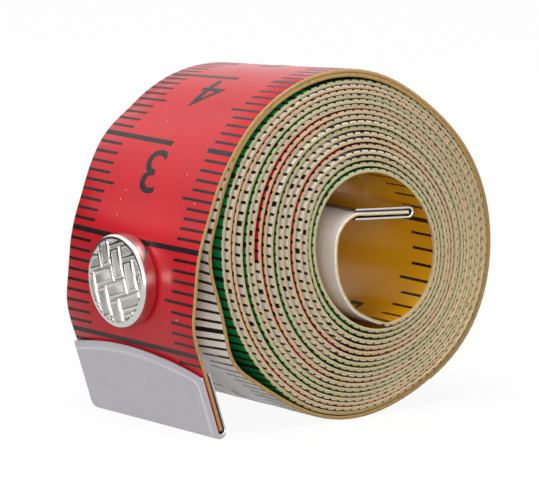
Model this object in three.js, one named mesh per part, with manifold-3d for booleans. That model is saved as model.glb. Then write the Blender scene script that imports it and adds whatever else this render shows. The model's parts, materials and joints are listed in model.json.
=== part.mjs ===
// Rolled cloth tape measure, closed by a snap fastener, standing on its rim.
// Millimetres, +Z up. X runs across the face of the roll and Y along its axis.
// The origin is on the floor, in the middle of the flat on which the roll stands.
import * as THREE from "three";
import { mergeVertices } from "three/addons/utils/BufferGeometryUtils.js";
import Module from "manifold-3d";

// The tape
const TAPE_WIDTH = 20;
const TAPE_THICKNESS = 0.36;

// The roll: a loose spiral, oval and with its core off centre.
// Radii are those of the middle of the tape's thickness.
const ROLL_RADIUS = 17.5;
const CORE_RADIUS = 7.5;
const CORE_SHIFT_X = 2.6;
const CORE_SHIFT_Z = -0.7;
const OVAL_OUTER = 0.097;
const OVAL_CORE = 0.163;
const TURNS = 9.25;
const STEPS_PER_TURN = 40;
const LEAST_GAP = 0.43;
const FOOT_DEPTH = 0.5;

// The free end, from its zero end up: a straight tip, a bend and a flat for the snap
const TIP_ABOVE_FLOOR = 0.8;
const CLIP_MARGIN = 0.1;
const END_BEND_ANGLE = 18.5;
const END_BEND_RADIUS = 8;
const SNAP_FLAT_BELOW = 3.2;
const SNAP_FLAT_ABOVE = 3.5;
const SNAP_BEND_RADIUS = 4;

// Lines on which the free end bends as it is peeled off the roll
const HINGE_ABOVE_SNAP = 8.5;
const MIDDLE_HINGE_CLOCK = 122;
const UPPER_HINGE_CLOCK = 92;
const HINGE_GAP = 0.12;

// The inner end's route is drawn for a core of this radius and follows the core's own size
const INNER_ROUTE_RADIUS = 7.7;
const INNER_LEAVES_BEFORE = 0.03;
const INNER_TILT = -4;
const INNER_CLIP_MARGIN = 0.3;

// Metal end clips, folded over the ends of the tape
const CLIP_SHEET = 0.3;
const CLIP_CLEARANCE = 0.08;
const CLIP_SIDE = 7.05;
const CLIP_ARCH = 1.3;
const CLIP_CORNER = 0.9;
const CLIP_FOLD_SPACE = 0.15;

// Snap fastener
const CAP_RADIUS = 4.5;
const CAP_HEIGHT = 1.7;
const CAP_WALL = 0.45;
const CAP_EDGE = 0.4;
const CAP_ROOM = 0.65;
const POST_RADIUS = 1.3;
const POST_FLANGE = 0.4;
const POST_RIVET_LIP = 0.5;
const POST_END = 0.25;
const SOCKET_WALL = 0.5;
const SOCKET_BASE = 0.4;
const SOCKET_LIP = 0.16;
const MOUTH_ROOM = 0.65;
const MOUTH_CLEARANCE = 0.24;
const GROOVE_ROOM = 0.65;
const SPRING_WIRE_RADIUS = 0.18;
const SPRING_CLEARANCE = 0.12;
const SPRING_ARM = 1.5;
const STUD_FLANGE_RADIUS = 3.1;
const STUD_FLANGE = 0.45;
const STUD_NECK_RADIUS = 1.12;
const STUD_HEAD_LIP = 0.38;
const STUD_CONE = 0.18;
const STUD_CROWN = 0.18;
const STUD_TOP_CLEARANCE = 0.03;
const STUD_TOP_WALL = 0.3;
const STUD_WALL = 0.32;
const STUD_POST_CLEARANCE = 0.12;
const STUD_POST_FLANGE_RADIUS = 2.9;
const STUD_POST_FLANGE = 0.3;
const STUD_POST_REACH = 0.5;
const SEAT = 0.08;
const HOLE_CLEARANCE = 0.2;
const SECOND_LAYER_INSET = 1.05;
const STUD_FLAT_MARGIN = 0.5;
const STUD_FLAT_FADE = 5;
const STUD_FINE_STEPS = 4;
const STUD_FINE_TURN = 0.1;

// Sizes that follow from those: the snap is a stack from the tape's inner face to the stud's face
const POST_FLANGE_RADIUS = CAP_RADIUS - CAP_WALL - CAP_ROOM;
const POST_END_RADIUS = POST_RADIUS + POST_RIVET_LIP;
const STUD_HEAD_RADIUS = STUD_NECK_RADIUS + STUD_HEAD_LIP;
const STUD_BORE = STUD_NECK_RADIUS - STUD_WALL;
const STUD_POST_RADIUS = STUD_BORE - STUD_POST_CLEARANCE;
const SPRING_HALF_SPACE = STUD_NECK_RADIUS + SPRING_CLEARANCE + SPRING_WIRE_RADIUS;
const SOCKET_MOUTH_RADIUS = STUD_HEAD_RADIUS + MOUTH_ROOM;
const SOCKET_GROOVE_RADIUS = SOCKET_MOUTH_RADIUS + GROOVE_ROOM;
const SOCKET_RADIUS = SOCKET_GROOVE_RADIUS + SOCKET_WALL;
const GROOVE_DEPTH = 2 * SPRING_WIRE_RADIUS + 0.1;
const POST_TOP = 2 * SEAT + SOCKET_BASE + POST_END;
const HEAD_TOP = POST_TOP + STUD_TOP_CLEARANCE;
const NECK_END = HEAD_TOP + STUD_CROWN + STUD_CONE;
const SPRING_DEPTH = NECK_END + SPRING_WIRE_RADIUS / 2;
const SOCKET_MOUTH = SPRING_DEPTH + GROOVE_DEPTH / 2 + SOCKET_LIP;
const LAYER_GAP_AT_SNAP = SOCKET_MOUTH + MOUTH_CLEARANCE + STUD_FLANGE + SEAT;
const END_STRAIGHT = CLIP_SIDE + CLIP_ARCH + CLIP_MARGIN;

const wasm = await Module();
wasm.setup();

const rad = THREE.MathUtils.degToRad;
const lerp = THREE.MathUtils.lerp;
const smooth = THREE.MathUtils.smoothstep;
const vec = (x, z) => new THREE.Vector2(x, z);

// Solids and meshes

function toSolid(geometry) {
  const bare = geometry.clone();
  bare.deleteAttribute("normal");
  bare.deleteAttribute("uv");
  const merged = mergeVertices(bare, 1e-4);
  return new wasm.Manifold(
    new wasm.Mesh({
      numProp: 3,
      vertProperties: merged.attributes.position.array,
      triVerts: new Uint32Array(merged.index.array),
    }),
  );
}

function toGeometry(solid) {
  const mesh = solid.getMesh();
  const geometry = new THREE.BufferGeometry();
  geometry.setAttribute("position", new THREE.BufferAttribute(mesh.vertProperties, 3));
  geometry.setIndex(new THREE.BufferAttribute(mesh.triVerts, 1));
  const flat = geometry.toNonIndexed();
  flat.computeVertexNormals();
  return flat;
}

// A disc, ring or turned piece about the X axis. The profile holds [radius, x] pairs.
function turned(profile, segments) {
  const points = profile.map(([r, x]) => vec(r, x));
  let geometry = new THREE.LatheGeometry(points, segments);
  if (toSolid(geometry).volume() < 0) {
    geometry = new THREE.LatheGeometry(points.reverse(), segments);
  }
  geometry.rotateZ(-Math.PI / 2);
  return geometry;
}

// A pin along X, for a hole
function pinAlongX(radius, x, z, length) {
  const geometry = new THREE.CylinderGeometry(radius, radius, length, 24);
  geometry.rotateZ(Math.PI / 2);
  geometry.translate(x, 0, z);
  return geometry;
}

// A strip of tape along a centre line in the XZ plane
function strip(line) {
  const last = line.length - 1;
  const position = [];
  const index = [];
  line.forEach((point, i) => {
    const before = line[Math.max(i - 1, 0)];
    const after = line[Math.min(i + 1, last)];
    const along = after.clone().sub(before).normalize();
    const across = vec(-along.y, along.x).multiplyScalar(TAPE_THICKNESS / 2);
    for (const [side, y] of [[1, -1], [1, 1], [-1, 1], [-1, -1]]) {
      position.push(point.x + side * across.x, (y * TAPE_WIDTH) / 2, point.y + side * across.y);
    }
  });
  for (let i = 0; i < last; i++) {
    for (let k = 0; k < 4; k++) {
      const a = 4 * i + k;
      const b = 4 * i + ((k + 1) % 4);
      index.push(a, b, a + 4, b, b + 4, a + 4);
    }
  }
  const e = 4 * last;
  index.push(0, 2, 1, 0, 3, 2, e, e + 1, e + 2, e, e + 2, e + 3);
  const geometry = new THREE.BufferGeometry();
  geometry.setAttribute("position", new THREE.Float32BufferAttribute(position, 3));
  geometry.setIndex(index);
  if (toSolid(geometry).volume() < 0) {
    for (let i = 0; i < index.length; i += 3) {
      [index[i], index[i + 1]] = [index[i + 1], index[i]];
    }
    geometry.setIndex(index);
  }
  return geometry;
}

// The tape's centre line, seen from the front with the middle of the roll at the origin

// A point of the loose spiral. Turn 0 is at nine o'clock on the outer layer, a quarter is at the top.
// The outer layer runs round the roll to three o'clock, and from there the radius shrinks.
function loosePoint(turn) {
  const inward = Math.max(turn - 0.5, 0) / TURNS;
  const radius = lerp(ROLL_RADIUS, CORE_RADIUS, inward);
  const oval = lerp(OVAL_OUTER, OVAL_CORE, inward);
  const angle = 2 * Math.PI * turn;
  const side = -radius * Math.cos(angle);
  const rise = radius * Math.sin(angle) - oval * side;
  return vec(CORE_SHIFT_X * inward + side, CORE_SHIFT_Z * inward + rise);
}

// Lowest place of the oval before it is flattened, and the height of the tape's middle on the flat
let lowest = 0;
for (let turn = 0.6; turn < 0.9; turn += 0.001) {
  lowest = Math.min(lowest, loosePoint(turn).y);
}
const FLAT_Z = lowest + FOOT_DEPTH;
const FLOOR_Z = FLAT_Z - TAPE_THICKNESS / 2;

// The plane of the second layer, where the stud is fixed, and that of the first, where the cap is.
// The snap is as high as the bent tip below it needs to stay off the floor.
const STUD_PLANE = -(ROLL_RADIUS - SECOND_LAYER_INSET);
const SNAP_PLANE = STUD_PLANE - TAPE_THICKNESS - LAYER_GAP_AT_SNAP;
const TIP_DROP = END_STRAIGHT * Math.cos(rad(END_BEND_ANGLE));
const BEND_DROP = END_BEND_RADIUS * Math.sin(rad(END_BEND_ANGLE));
const SNAP_Z = FLOOR_Z + TIP_ABOVE_FLOOR + TIP_DROP + BEND_DROP + SNAP_FLAT_BELOW;
const SNAP_FROM_END = END_STRAIGHT + rad(END_BEND_ANGLE) * END_BEND_RADIUS + SNAP_FLAT_BELOW;

// A point of the spiral as it stands: flat on the floor and under the stud
function spiralPoint(turn) {
  const point = loosePoint(turn);
  // each turn rests on the flat, or on the turn below it
  const below = Math.round(turn - 0.75);
  if (below >= 0 && Math.abs(turn - 0.75 - below) < 0.2) {
    point.y = Math.max(point.y, FLAT_Z + below * (TAPE_THICKNESS + LEAST_GAP));
  }
  // the second layer is flat under the stud
  if (turn > 0.75 && turn < 1.25) {
    const away = Math.abs(point.y - SNAP_Z);
    const flat = STUD_FLANGE_RADIUS + STUD_FLAT_MARGIN;
    point.x = lerp(STUD_PLANE, point.x, smooth(away, flat, flat + STUD_FLAT_FADE));
  }
  return point;
}

// Where a straight line from the bend above the snap meets the roll
function tangentTurn(from) {
  const miss = (turn) => {
    const point = spiralPoint(turn);
    const along = spiralPoint(turn + 1e-4).sub(point);
    return point.clone().sub(from).cross(along);
  };
  let low = 0.02;
  let high = 0.24;
  for (let i = 0; i < 60; i++) {
    const middle = (low + high) / 2;
    if (miss(low) * miss(middle) > 0) low = middle;
    else high = middle;
  }
  return low;
}

function arc(centre, radius, from, to, steps) {
  const points = [];
  for (let i = 0; i <= steps; i++) {
    const angle = rad(lerp(from, to, i / steps));
    points.push(vec(centre.x + radius * Math.cos(angle), centre.y + radius * Math.sin(angle)));
  }
  return points;
}

// Free end, from the zero end up to the place where it lies on the roll
const endBendCentre = vec(SNAP_PLANE + END_BEND_RADIUS, SNAP_Z - SNAP_FLAT_BELOW);
const endBend = arc(endBendCentre, END_BEND_RADIUS, 180 + END_BEND_ANGLE, 180, 6);
const endDirection = vec(Math.sin(rad(END_BEND_ANGLE)), -Math.cos(rad(END_BEND_ANGLE)));
const tapeEnd = endBend[0].clone().addScaledVector(endDirection, END_STRAIGHT);

// the bend above the snap, as sharp as the straight line to the roll needs
const bendStart = SNAP_Z + SNAP_FLAT_ABOVE;
const bendCentre = vec(SNAP_PLANE + SNAP_BEND_RADIUS, bendStart);
let bendAngle = 30;
let meeting = 0.08;
for (let i = 0; i < 40; i++) {
  const from = arc(bendCentre, SNAP_BEND_RADIUS, 180, 180 - bendAngle, 1)[1];
  meeting = tangentTurn(from);
  const line = spiralPoint(meeting).sub(from);
  bendAngle = lerp(bendAngle, THREE.MathUtils.radToDeg(Math.atan2(line.x, line.y)), 0.5);
}
const snapBend = arc(bendCentre, SNAP_BEND_RADIUS, 180, 180 - bendAngle, 6);

// Inner end: it leaves the core at the bottom, rises on the left and turns across the core
const coreCentre = vec(CORE_SHIFT_X, CORE_SHIFT_Z);
const INNER_SCALE = CORE_RADIUS / INNER_ROUTE_RADIUS;
const core = (x, z) => coreCentre.clone().add(vec(x, z).multiplyScalar(INNER_SCALE));
const INNER_LEAVES = TURNS + 0.5 - INNER_LEAVES_BEFORE;
const INNER_STEPS = 8;
const clipStraight = CLIP_SIDE + CLIP_ARCH + INNER_CLIP_MARGIN;
const innerTip = core(5.3, 3.35);
const innerDirection = vec(Math.cos(rad(INNER_TILT)), Math.sin(rad(INNER_TILT)));
const innerStraight = innerTip.clone().addScaledVector(innerDirection, -clipStraight);
const innerRoute = [
  spiralPoint(INNER_LEAVES - 0.04),
  spiralPoint(INNER_LEAVES),
  core(-2.0, -6.3),
  core(-3.9, -4.4),
  core(-5.0, -2.0),
  core(-4.9, 0.3),
  innerStraight.clone().add(vec(-1.3, -1.9)),
  innerStraight.clone().add(vec(-0.5, -0.7)),
  innerStraight,
  innerTip,
];
// the curve's first and last stretches only set its directions: the last one is straight, for the clip
const innerCurve = new THREE.SplineCurve(innerRoute).getPoints(INNER_STEPS * (innerRoute.length - 1));
const innerWhole = [...innerCurve.slice(INNER_STEPS, -INNER_STEPS), innerTip];

// The whole line, as named stretches. Its steps are finer on the second layer, on both sides of the stud.
function spiral(from, to) {
  const points = [spiralPoint(from)];
  const fine = STEPS_PER_TURN * STUD_FINE_STEPS;
  for (let i = Math.floor(from * fine) + 1; i / fine < to - 1e-3; i++) {
    const turn = i / fine;
    const byStud = Math.abs(turn - 1) < STUD_FINE_TURN;
    if (turn > from + 1e-3 && (byStud || i % STUD_FINE_STEPS === 0)) points.push(spiralPoint(turn));
  }
  points.push(spiralPoint(to));
  return points;
}

const freeEnd = [tapeEnd, ...endBend, ...snapBend, spiralPoint(meeting)];
// Where a line is cut, a hinge is placed on the outer face and a small gap is left
function lengthOf(line) {
  let sum = 0;
  for (let i = 1; i < line.length; i++) sum += line[i].distanceTo(line[i - 1]);
  return sum;
}

function pointAt(line, distance) {
  let left = distance;
  for (let i = 1; i < line.length; i++) {
    const step = line[i].distanceTo(line[i - 1]);
    if (left <= step) {
      return line[i - 1].clone().lerp(line[i], left / step);
    }
    left -= step;
  }
  return line[line.length - 1].clone();
}

function between(line, from, to) {
  const points = [pointAt(line, from)];
  let sum = 0;
  for (let i = 1; i < line.length; i++) {
    sum += line[i].distanceTo(line[i - 1]);
    if (sum > from + 1e-3 && sum < to - 1e-3) points.push(line[i].clone());
  }
  points.push(pointAt(line, to));
  return points;
}

const clockTurn = (degrees) => (180 - degrees) / 360;
const middleTurn = clockTurn(MIDDLE_HINGE_CLOCK);
const upperTurn = clockTurn(UPPER_HINGE_CLOCK);
const outerLine = [...freeEnd.slice(0, -1), ...spiral(meeting, 0.5)];
const toSpiral = lengthOf(freeEnd);
const endCut = SNAP_FROM_END + HINGE_ABOVE_SNAP;
const middleCut = toSpiral + lengthOf(spiral(meeting, middleTurn));
const upperCut = toSpiral + lengthOf(spiral(meeting, upperTurn));
const half = HINGE_GAP / 2;

const outerCoil = between(outerLine, upperCut + half, lengthOf(outerLine));
const coilLine = [...outerCoil.slice(0, -1), ...spiral(0.5, INNER_LEAVES)];
const innerLine = between(innerWhole, HINGE_GAP, lengthOf(innerWhole));

// Least gap of the coil to itself, measured on points at least a core's radius apart along it
const GAP_STEP = 0.4;
function leastGap(line) {
  const dense = [];
  const total = lengthOf(line);
  for (let d = 0; d < total; d += GAP_STEP) dense.push(pointAt(line, d));
  const apart = Math.round(CORE_RADIUS / GAP_STEP);
  let least = Infinity;
  for (let i = 0; i < dense.length; i++) {
    for (let j = i + apart; j < dense.length; j++) {
      least = Math.min(least, dense[i].distanceTo(dense[j]));
    }
  }
  return least - TAPE_THICKNESS;
}
console.log("least gap of the coil to itself, mm: " + leastGap(coilLine).toFixed(3));

// The middle of the flat is over the origin
const flatX = coilLine.filter((p) => Math.abs(p.y - FLAT_Z) < 1e-6).map((p) => p.x);
const FOOT_X = (Math.min(...flatX) + Math.max(...flatX)) / 2;

// End clip: a folded sheet with an arched edge, flat on XY before it is placed.
// The fold is at the origin and the leaves run towards +X, one on each side of the tape.
function clipGeometry() {
  const inside = TAPE_THICKNESS / 2 + CLIP_CLEARANCE;
  const outside = inside + CLIP_SHEET;
  const length = CLIP_SIDE + CLIP_ARCH;
  const profile = new THREE.Shape();
  profile.moveTo(length, -outside);
  profile.lineTo(length, -inside);
  profile.lineTo(CLIP_SHEET + inside, -inside);
  profile.absarc(CLIP_SHEET + inside, 0, inside, -Math.PI / 2, -1.5 * Math.PI, true);
  profile.lineTo(length, inside);
  profile.lineTo(length, outside);
  profile.lineTo(outside, outside);
  profile.absarc(outside, 0, outside, Math.PI / 2, 1.5 * Math.PI, false);
  profile.lineTo(length, -outside);
  const folded = new THREE.ExtrudeGeometry(profile, {
    depth: TAPE_WIDTH,
    bevelEnabled: false,
    curveSegments: 8,
  });
  folded.translate(0, 0, -TAPE_WIDTH / 2);
  folded.rotateX(Math.PI / 2);
  const side = TAPE_WIDTH / 2;
  const outline = new THREE.Shape();
  outline.moveTo(CLIP_CORNER, -side);
  outline.lineTo(CLIP_SIDE, -side);
  const rise = CLIP_ARCH;
  const archRadius = (side * side + rise * rise) / (2 * rise);
  const reach = Math.asin(side / archRadius);
  const archCentre = CLIP_SIDE + CLIP_ARCH - archRadius;
  outline.absarc(archCentre, 0, archRadius, -reach, reach, false);
  outline.lineTo(CLIP_CORNER, side);
  outline.absarc(CLIP_CORNER, side - CLIP_CORNER, CLIP_CORNER, Math.PI / 2, Math.PI, false);
  outline.lineTo(0, -side + CLIP_CORNER);
  outline.absarc(CLIP_CORNER, -side + CLIP_CORNER, CLIP_CORNER, Math.PI, 1.5 * Math.PI, false);
  const plate = new THREE.ExtrudeGeometry(outline, { depth: 4, bevelEnabled: false, curveSegments: 16 });
  plate.translate(0, 0, -2);
  return toGeometry(toSolid(folded).intersect(toSolid(plate)));
}

// Places a clip so that its leaves run along the tape from the tape's end
function placedClip(end, towards) {
  const geometry = clipGeometry();
  const along = towards.clone().sub(end).normalize();
  geometry.translate(-(CLIP_SHEET + CLIP_FOLD_SPACE), 0, 0);
  geometry.rotateY(-Math.atan2(along.y, along.x));
  geometry.translate(end.x, 0, end.y);
  return geometry;
}

// Snap pieces, turned about X. Distances run from the face on which each one sits.
const SEGMENTS = 40;
const outerFace = SNAP_PLANE - TAPE_THICKNESS / 2;
const innerFace = SNAP_PLANE + TAPE_THICKNESS / 2;
const studFace = STUD_PLANE - TAPE_THICKNESS / 2;
const studBack = STUD_PLANE + TAPE_THICKNESS / 2;

// The cap is a shell over the flange of its post
const cap = turned(
  [
    [0, -CAP_HEIGHT - SEAT],
    [CAP_RADIUS - CAP_EDGE, -CAP_HEIGHT - SEAT + 0.12],
    [CAP_RADIUS - 0.12, -CAP_HEIGHT - SEAT + CAP_EDGE * 0.7],
    [CAP_RADIUS, -CAP_HEIGHT - SEAT + CAP_EDGE * 1.4],
    [CAP_RADIUS, -SEAT - 0.25],
    [CAP_RADIUS - 0.25, -SEAT],
    [CAP_RADIUS - CAP_WALL, -SEAT],
    [CAP_RADIUS - CAP_WALL, -CAP_HEIGHT - SEAT + CAP_WALL + 0.2],
    [0, -CAP_HEIGHT - SEAT + CAP_WALL + 0.1],
  ],
  SEGMENTS,
);
cap.translate(outerFace, 0, SNAP_Z);

// The post holds the cap and the socket together through the tape
const postReach = TAPE_THICKNESS + SEAT + SOCKET_BASE;
const post = turned(
  [
    [0, -SEAT - POST_FLANGE],
    [POST_FLANGE_RADIUS, -SEAT - POST_FLANGE],
    [POST_FLANGE_RADIUS, -SEAT],
    [POST_RADIUS, -SEAT],
    [POST_RADIUS, postReach + SEAT],
    [POST_END_RADIUS, postReach + SEAT],
    [POST_END_RADIUS, postReach + SEAT + POST_END],
    [0, postReach + SEAT + POST_END],
  ],
  SEGMENTS,
);
post.translate(outerFace, 0, SNAP_Z);

// The socket is a cup with a groove for its spring
const grooveTop = SOCKET_MOUTH - SOCKET_LIP;
const grooveBottom = grooveTop - GROOVE_DEPTH;
const socket = turned(
  [
    [POST_RADIUS + SEAT, SEAT],
    [SOCKET_RADIUS, SEAT],
    [SOCKET_RADIUS, SOCKET_MOUTH - 0.2],
    [SOCKET_RADIUS - 0.2, SOCKET_MOUTH],
    [SOCKET_MOUTH_RADIUS, SOCKET_MOUTH],
    [SOCKET_MOUTH_RADIUS, grooveTop],
    [SOCKET_GROOVE_RADIUS, grooveTop],
    [SOCKET_GROOVE_RADIUS, grooveBottom],
    [SOCKET_MOUTH_RADIUS, grooveBottom],
    [SOCKET_MOUTH_RADIUS, SEAT + SOCKET_BASE],
    [POST_RADIUS + SEAT, SEAT + SOCKET_BASE],
    [POST_RADIUS + SEAT, SEAT],
  ],
  SEGMENTS,
);
socket.translate(innerFace, 0, SNAP_Z);

// The spring is a wire hairpin, whose arms grip the neck of the stud
const springX = innerFace + SPRING_DEPTH;
const armEnd = SOCKET_GROOVE_RADIUS - SPRING_WIRE_RADIUS - SPRING_HALF_SPACE - SPRING_CLEARANCE;
const hairpin = [];
for (let i = 0; i <= 4; i++) {
  const y = lerp(-SPRING_ARM, armEnd, i / 4);
  hairpin.push(new THREE.Vector3(springX, y, SNAP_Z - SPRING_HALF_SPACE));
}
for (let i = 1; i < 12; i++) {
  const angle = lerp(-Math.PI / 2, Math.PI / 2, i / 12);
  const y = armEnd + SPRING_HALF_SPACE * Math.cos(angle);
  hairpin.push(new THREE.Vector3(springX, y, SNAP_Z + SPRING_HALF_SPACE * Math.sin(angle)));
}
for (let i = 4; i >= 0; i--) {
  const y = lerp(-SPRING_ARM, armEnd, i / 4);
  hairpin.push(new THREE.Vector3(springX, y, SNAP_Z + SPRING_HALF_SPACE));
}
const wire = new THREE.Shape().absarc(0, 0, SPRING_WIRE_RADIUS, 0, 2 * Math.PI);
const spring = new THREE.ExtrudeGeometry(wire, {
  steps: 36,
  curveSegments: 8,
  extrudePath: new THREE.CatmullRomCurve3(hairpin),
});

// The stud has a neck and a wider head, and is hollow for its post
const flangeTop = -SEAT - STUD_FLANGE;
const neckTop = NECK_END - LAYER_GAP_AT_SNAP;
const studTop = HEAD_TOP - LAYER_GAP_AT_SNAP;
const stud = turned(
  [
    [STUD_BORE, -SEAT],
    [STUD_FLANGE_RADIUS, -SEAT],
    [STUD_FLANGE_RADIUS, flangeTop + 0.12],
    [STUD_FLANGE_RADIUS - 0.12, flangeTop],
    [STUD_NECK_RADIUS, flangeTop],
    [STUD_NECK_RADIUS, neckTop],
    [STUD_HEAD_RADIUS, neckTop - STUD_CONE],
    [STUD_HEAD_RADIUS - 0.15, studTop + 0.06],
    [STUD_HEAD_RADIUS - 0.5, studTop],
    [0, studTop],
    [0, studTop + STUD_TOP_WALL],
    [STUD_BORE, studTop + STUD_TOP_WALL],
    [STUD_BORE, -SEAT],
  ],
  SEGMENTS,
);
stud.translate(studFace, 0, SNAP_Z);

// The stud's post is a rivet from the back of the second layer
const studPostReach = TAPE_THICKNESS + SEAT + STUD_FLANGE + STUD_POST_REACH;
const studPost = turned(
  [
    [0, -studPostReach],
    [STUD_POST_RADIUS, -studPostReach],
    [STUD_POST_RADIUS, SEAT],
    [STUD_POST_FLANGE_RADIUS, SEAT],
    [STUD_POST_FLANGE_RADIUS - 0.1, SEAT + STUD_POST_FLANGE],
    [0, SEAT + STUD_POST_FLANGE],
  ],
  SEGMENTS,
);
studPost.translate(studBack, 0, SNAP_Z);

// The tape with its holes for the posts
const capHole = toSolid(pinAlongX(POST_RADIUS + HOLE_CLEARANCE, SNAP_PLANE, SNAP_Z, 1));
const studHole = toSolid(pinAlongX(STUD_POST_RADIUS + HOLE_CLEARANCE, STUD_PLANE, SNAP_Z, 1));
const endStretch = toSolid(strip(between(outerLine, 0, endCut - half))).subtract(capHole);
const coil = toSolid(strip(coilLine)).subtract(studHole);

const part = new THREE.Group();
part.name = "tape_measure";

function add(name, geometry, colour, metalness, roughness) {
  geometry.translate(-FOOT_X, 0, -FLOOR_Z);
  const material = new THREE.MeshStandardMaterial({ color: colour, metalness, roughness });
  const mesh = new THREE.Mesh(geometry, material);
  mesh.name = name;
  part.add(mesh);
}

add("tape_coil", toGeometry(coil), 0xd8c9a0, 0, 0.6);
add("tape_upper_stretch", strip(between(outerLine, middleCut + half, upperCut - half)), 0xc4202a, 0, 0.5);
add("tape_middle_stretch", strip(between(outerLine, endCut + half, middleCut - half)), 0xc8242c, 0, 0.5);
add("tape_end_stretch", toGeometry(endStretch), 0xcc282e, 0, 0.5);
add("tape_inner_end", strip(innerLine), 0xe6e0d4, 0, 0.6);
add("zero_end_clip", placedClip(tapeEnd, endBend[0]), 0xb9b8bc, 1, 0.4);
add("inner_end_clip", placedClip(innerTip, innerStraight), 0xc4c4c8, 1, 0.25);
add("snap_cap", cap, 0xd2d2d4, 1, 0.2);
add("snap_cap_post", post, 0xbdbdbf, 1, 0.3);
add("snap_socket", socket, 0xc6c6c8, 1, 0.3);
add("snap_socket_spring", spring, 0xa8a8aa, 1, 0.35);
add("snap_stud", stud, 0xc6c6c8, 1, 0.3);
add("snap_stud_post", studPost, 0xbdbdbf, 1, 0.3);

// Places of the hinge lines, the snap and the roll
function place(name, point) {
  const xyz = [point.x - FOOT_X, 0, point.y - FLOOR_Z];
  console.log(name + ": " + xyz.map((v) => v.toFixed(3)).join(", "));
}

// A stretch turns about a line on the tape's outer face
function outerFaceAt(line, distance) {
  const along = pointAt(line, distance + 0.05).sub(pointAt(line, distance - 0.05)).normalize();
  return pointAt(line, distance).add(vec(-along.y, along.x).multiplyScalar(TAPE_THICKNESS / 2));
}
place("end hinge", outerFaceAt(outerLine, endCut));
place("middle hinge", outerFaceAt(outerLine, middleCut));
place("upper hinge", outerFaceAt(outerLine, upperCut));
place("inner hinge", innerWhole[0]);
place("snap axis", vec(SNAP_PLANE, SNAP_Z));
place("roll middle", vec(0, 0));
place("core middle", coreCentre);

export default part;
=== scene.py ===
"""Looks of a rolled cloth tape measure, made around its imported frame: cloth, print, end clips and snap."""

import json
import math
from typing import NamedTuple

import bmesh
import bpy
import numpy as np
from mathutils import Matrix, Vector


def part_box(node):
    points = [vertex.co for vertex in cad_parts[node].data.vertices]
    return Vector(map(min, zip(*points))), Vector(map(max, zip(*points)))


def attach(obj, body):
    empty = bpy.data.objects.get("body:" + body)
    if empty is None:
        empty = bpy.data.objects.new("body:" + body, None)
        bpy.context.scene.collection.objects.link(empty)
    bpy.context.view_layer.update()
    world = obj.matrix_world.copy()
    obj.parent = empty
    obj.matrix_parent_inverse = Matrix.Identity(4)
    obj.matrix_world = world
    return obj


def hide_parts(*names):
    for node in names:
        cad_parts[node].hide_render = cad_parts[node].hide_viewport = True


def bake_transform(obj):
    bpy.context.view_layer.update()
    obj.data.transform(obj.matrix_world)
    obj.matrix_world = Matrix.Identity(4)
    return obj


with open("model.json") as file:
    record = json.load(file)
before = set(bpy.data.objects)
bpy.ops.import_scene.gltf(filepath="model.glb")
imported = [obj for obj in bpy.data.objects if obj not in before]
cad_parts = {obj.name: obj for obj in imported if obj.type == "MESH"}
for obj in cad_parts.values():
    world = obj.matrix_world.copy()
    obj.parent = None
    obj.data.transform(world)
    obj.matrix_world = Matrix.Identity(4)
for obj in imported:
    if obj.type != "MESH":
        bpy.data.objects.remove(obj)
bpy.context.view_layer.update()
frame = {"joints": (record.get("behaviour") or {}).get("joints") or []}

bl_info = {
    "name": "Rolled Tape Measure",
    "version": (1, 0, 0),
    "blender": (4, 5, 0),
    "location": "View3D > Sidebar > Tape Measure",
    "description": "Builds a rolled cloth tape measure with its print, end clips and snap fastener",
    "category": "Add Mesh",
}

MM = 0.001
INCH = 25.4 * MM
SEAT = 0.08 * MM            # space under a snap piece's flange
CAD_THICKNESS = 0.36 * MM   # the frame's own tape
TOUCHING = 1e-7             # points nearer than this are one point


# Properties

def linear(code, alpha=1.0):
    """An sRGB hex colour as linear red, green, blue and alpha."""
    channels = [int(code[i:i + 2], 16) / 255 for i in (1, 3, 5)]
    return (*[c / 12.92 if c <= 0.04045 else ((c + 0.055) / 1.055) ** 2.4 for c in channels], alpha)


def size(name, description, millimetres):
    return bpy.props.FloatProperty(name=name, description=description, default=millimetres * MM,
                                   unit="LENGTH", subtype="DISTANCE", precision=5)


def share(name, description, value):
    return bpy.props.FloatProperty(name=name, description=description, default=value, precision=4)


def angle(name, description, degrees):
    return bpy.props.FloatProperty(name=name, description=description, default=math.radians(degrees),
                                   unit="ROTATION", subtype="ANGLE")


def colour(name, description, code):
    return bpy.props.FloatVectorProperty(name=name, description=description, default=linear(code),
                                         size=4, min=0, max=1, subtype="COLOR")


def lengths(name, description, millimetres):
    return bpy.props.FloatVectorProperty(name=name, description=description, size=3, precision=5,
                                         default=[v * MM for v in millimetres],
                                         unit="LENGTH", subtype="XYZ_LENGTH")


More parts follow.
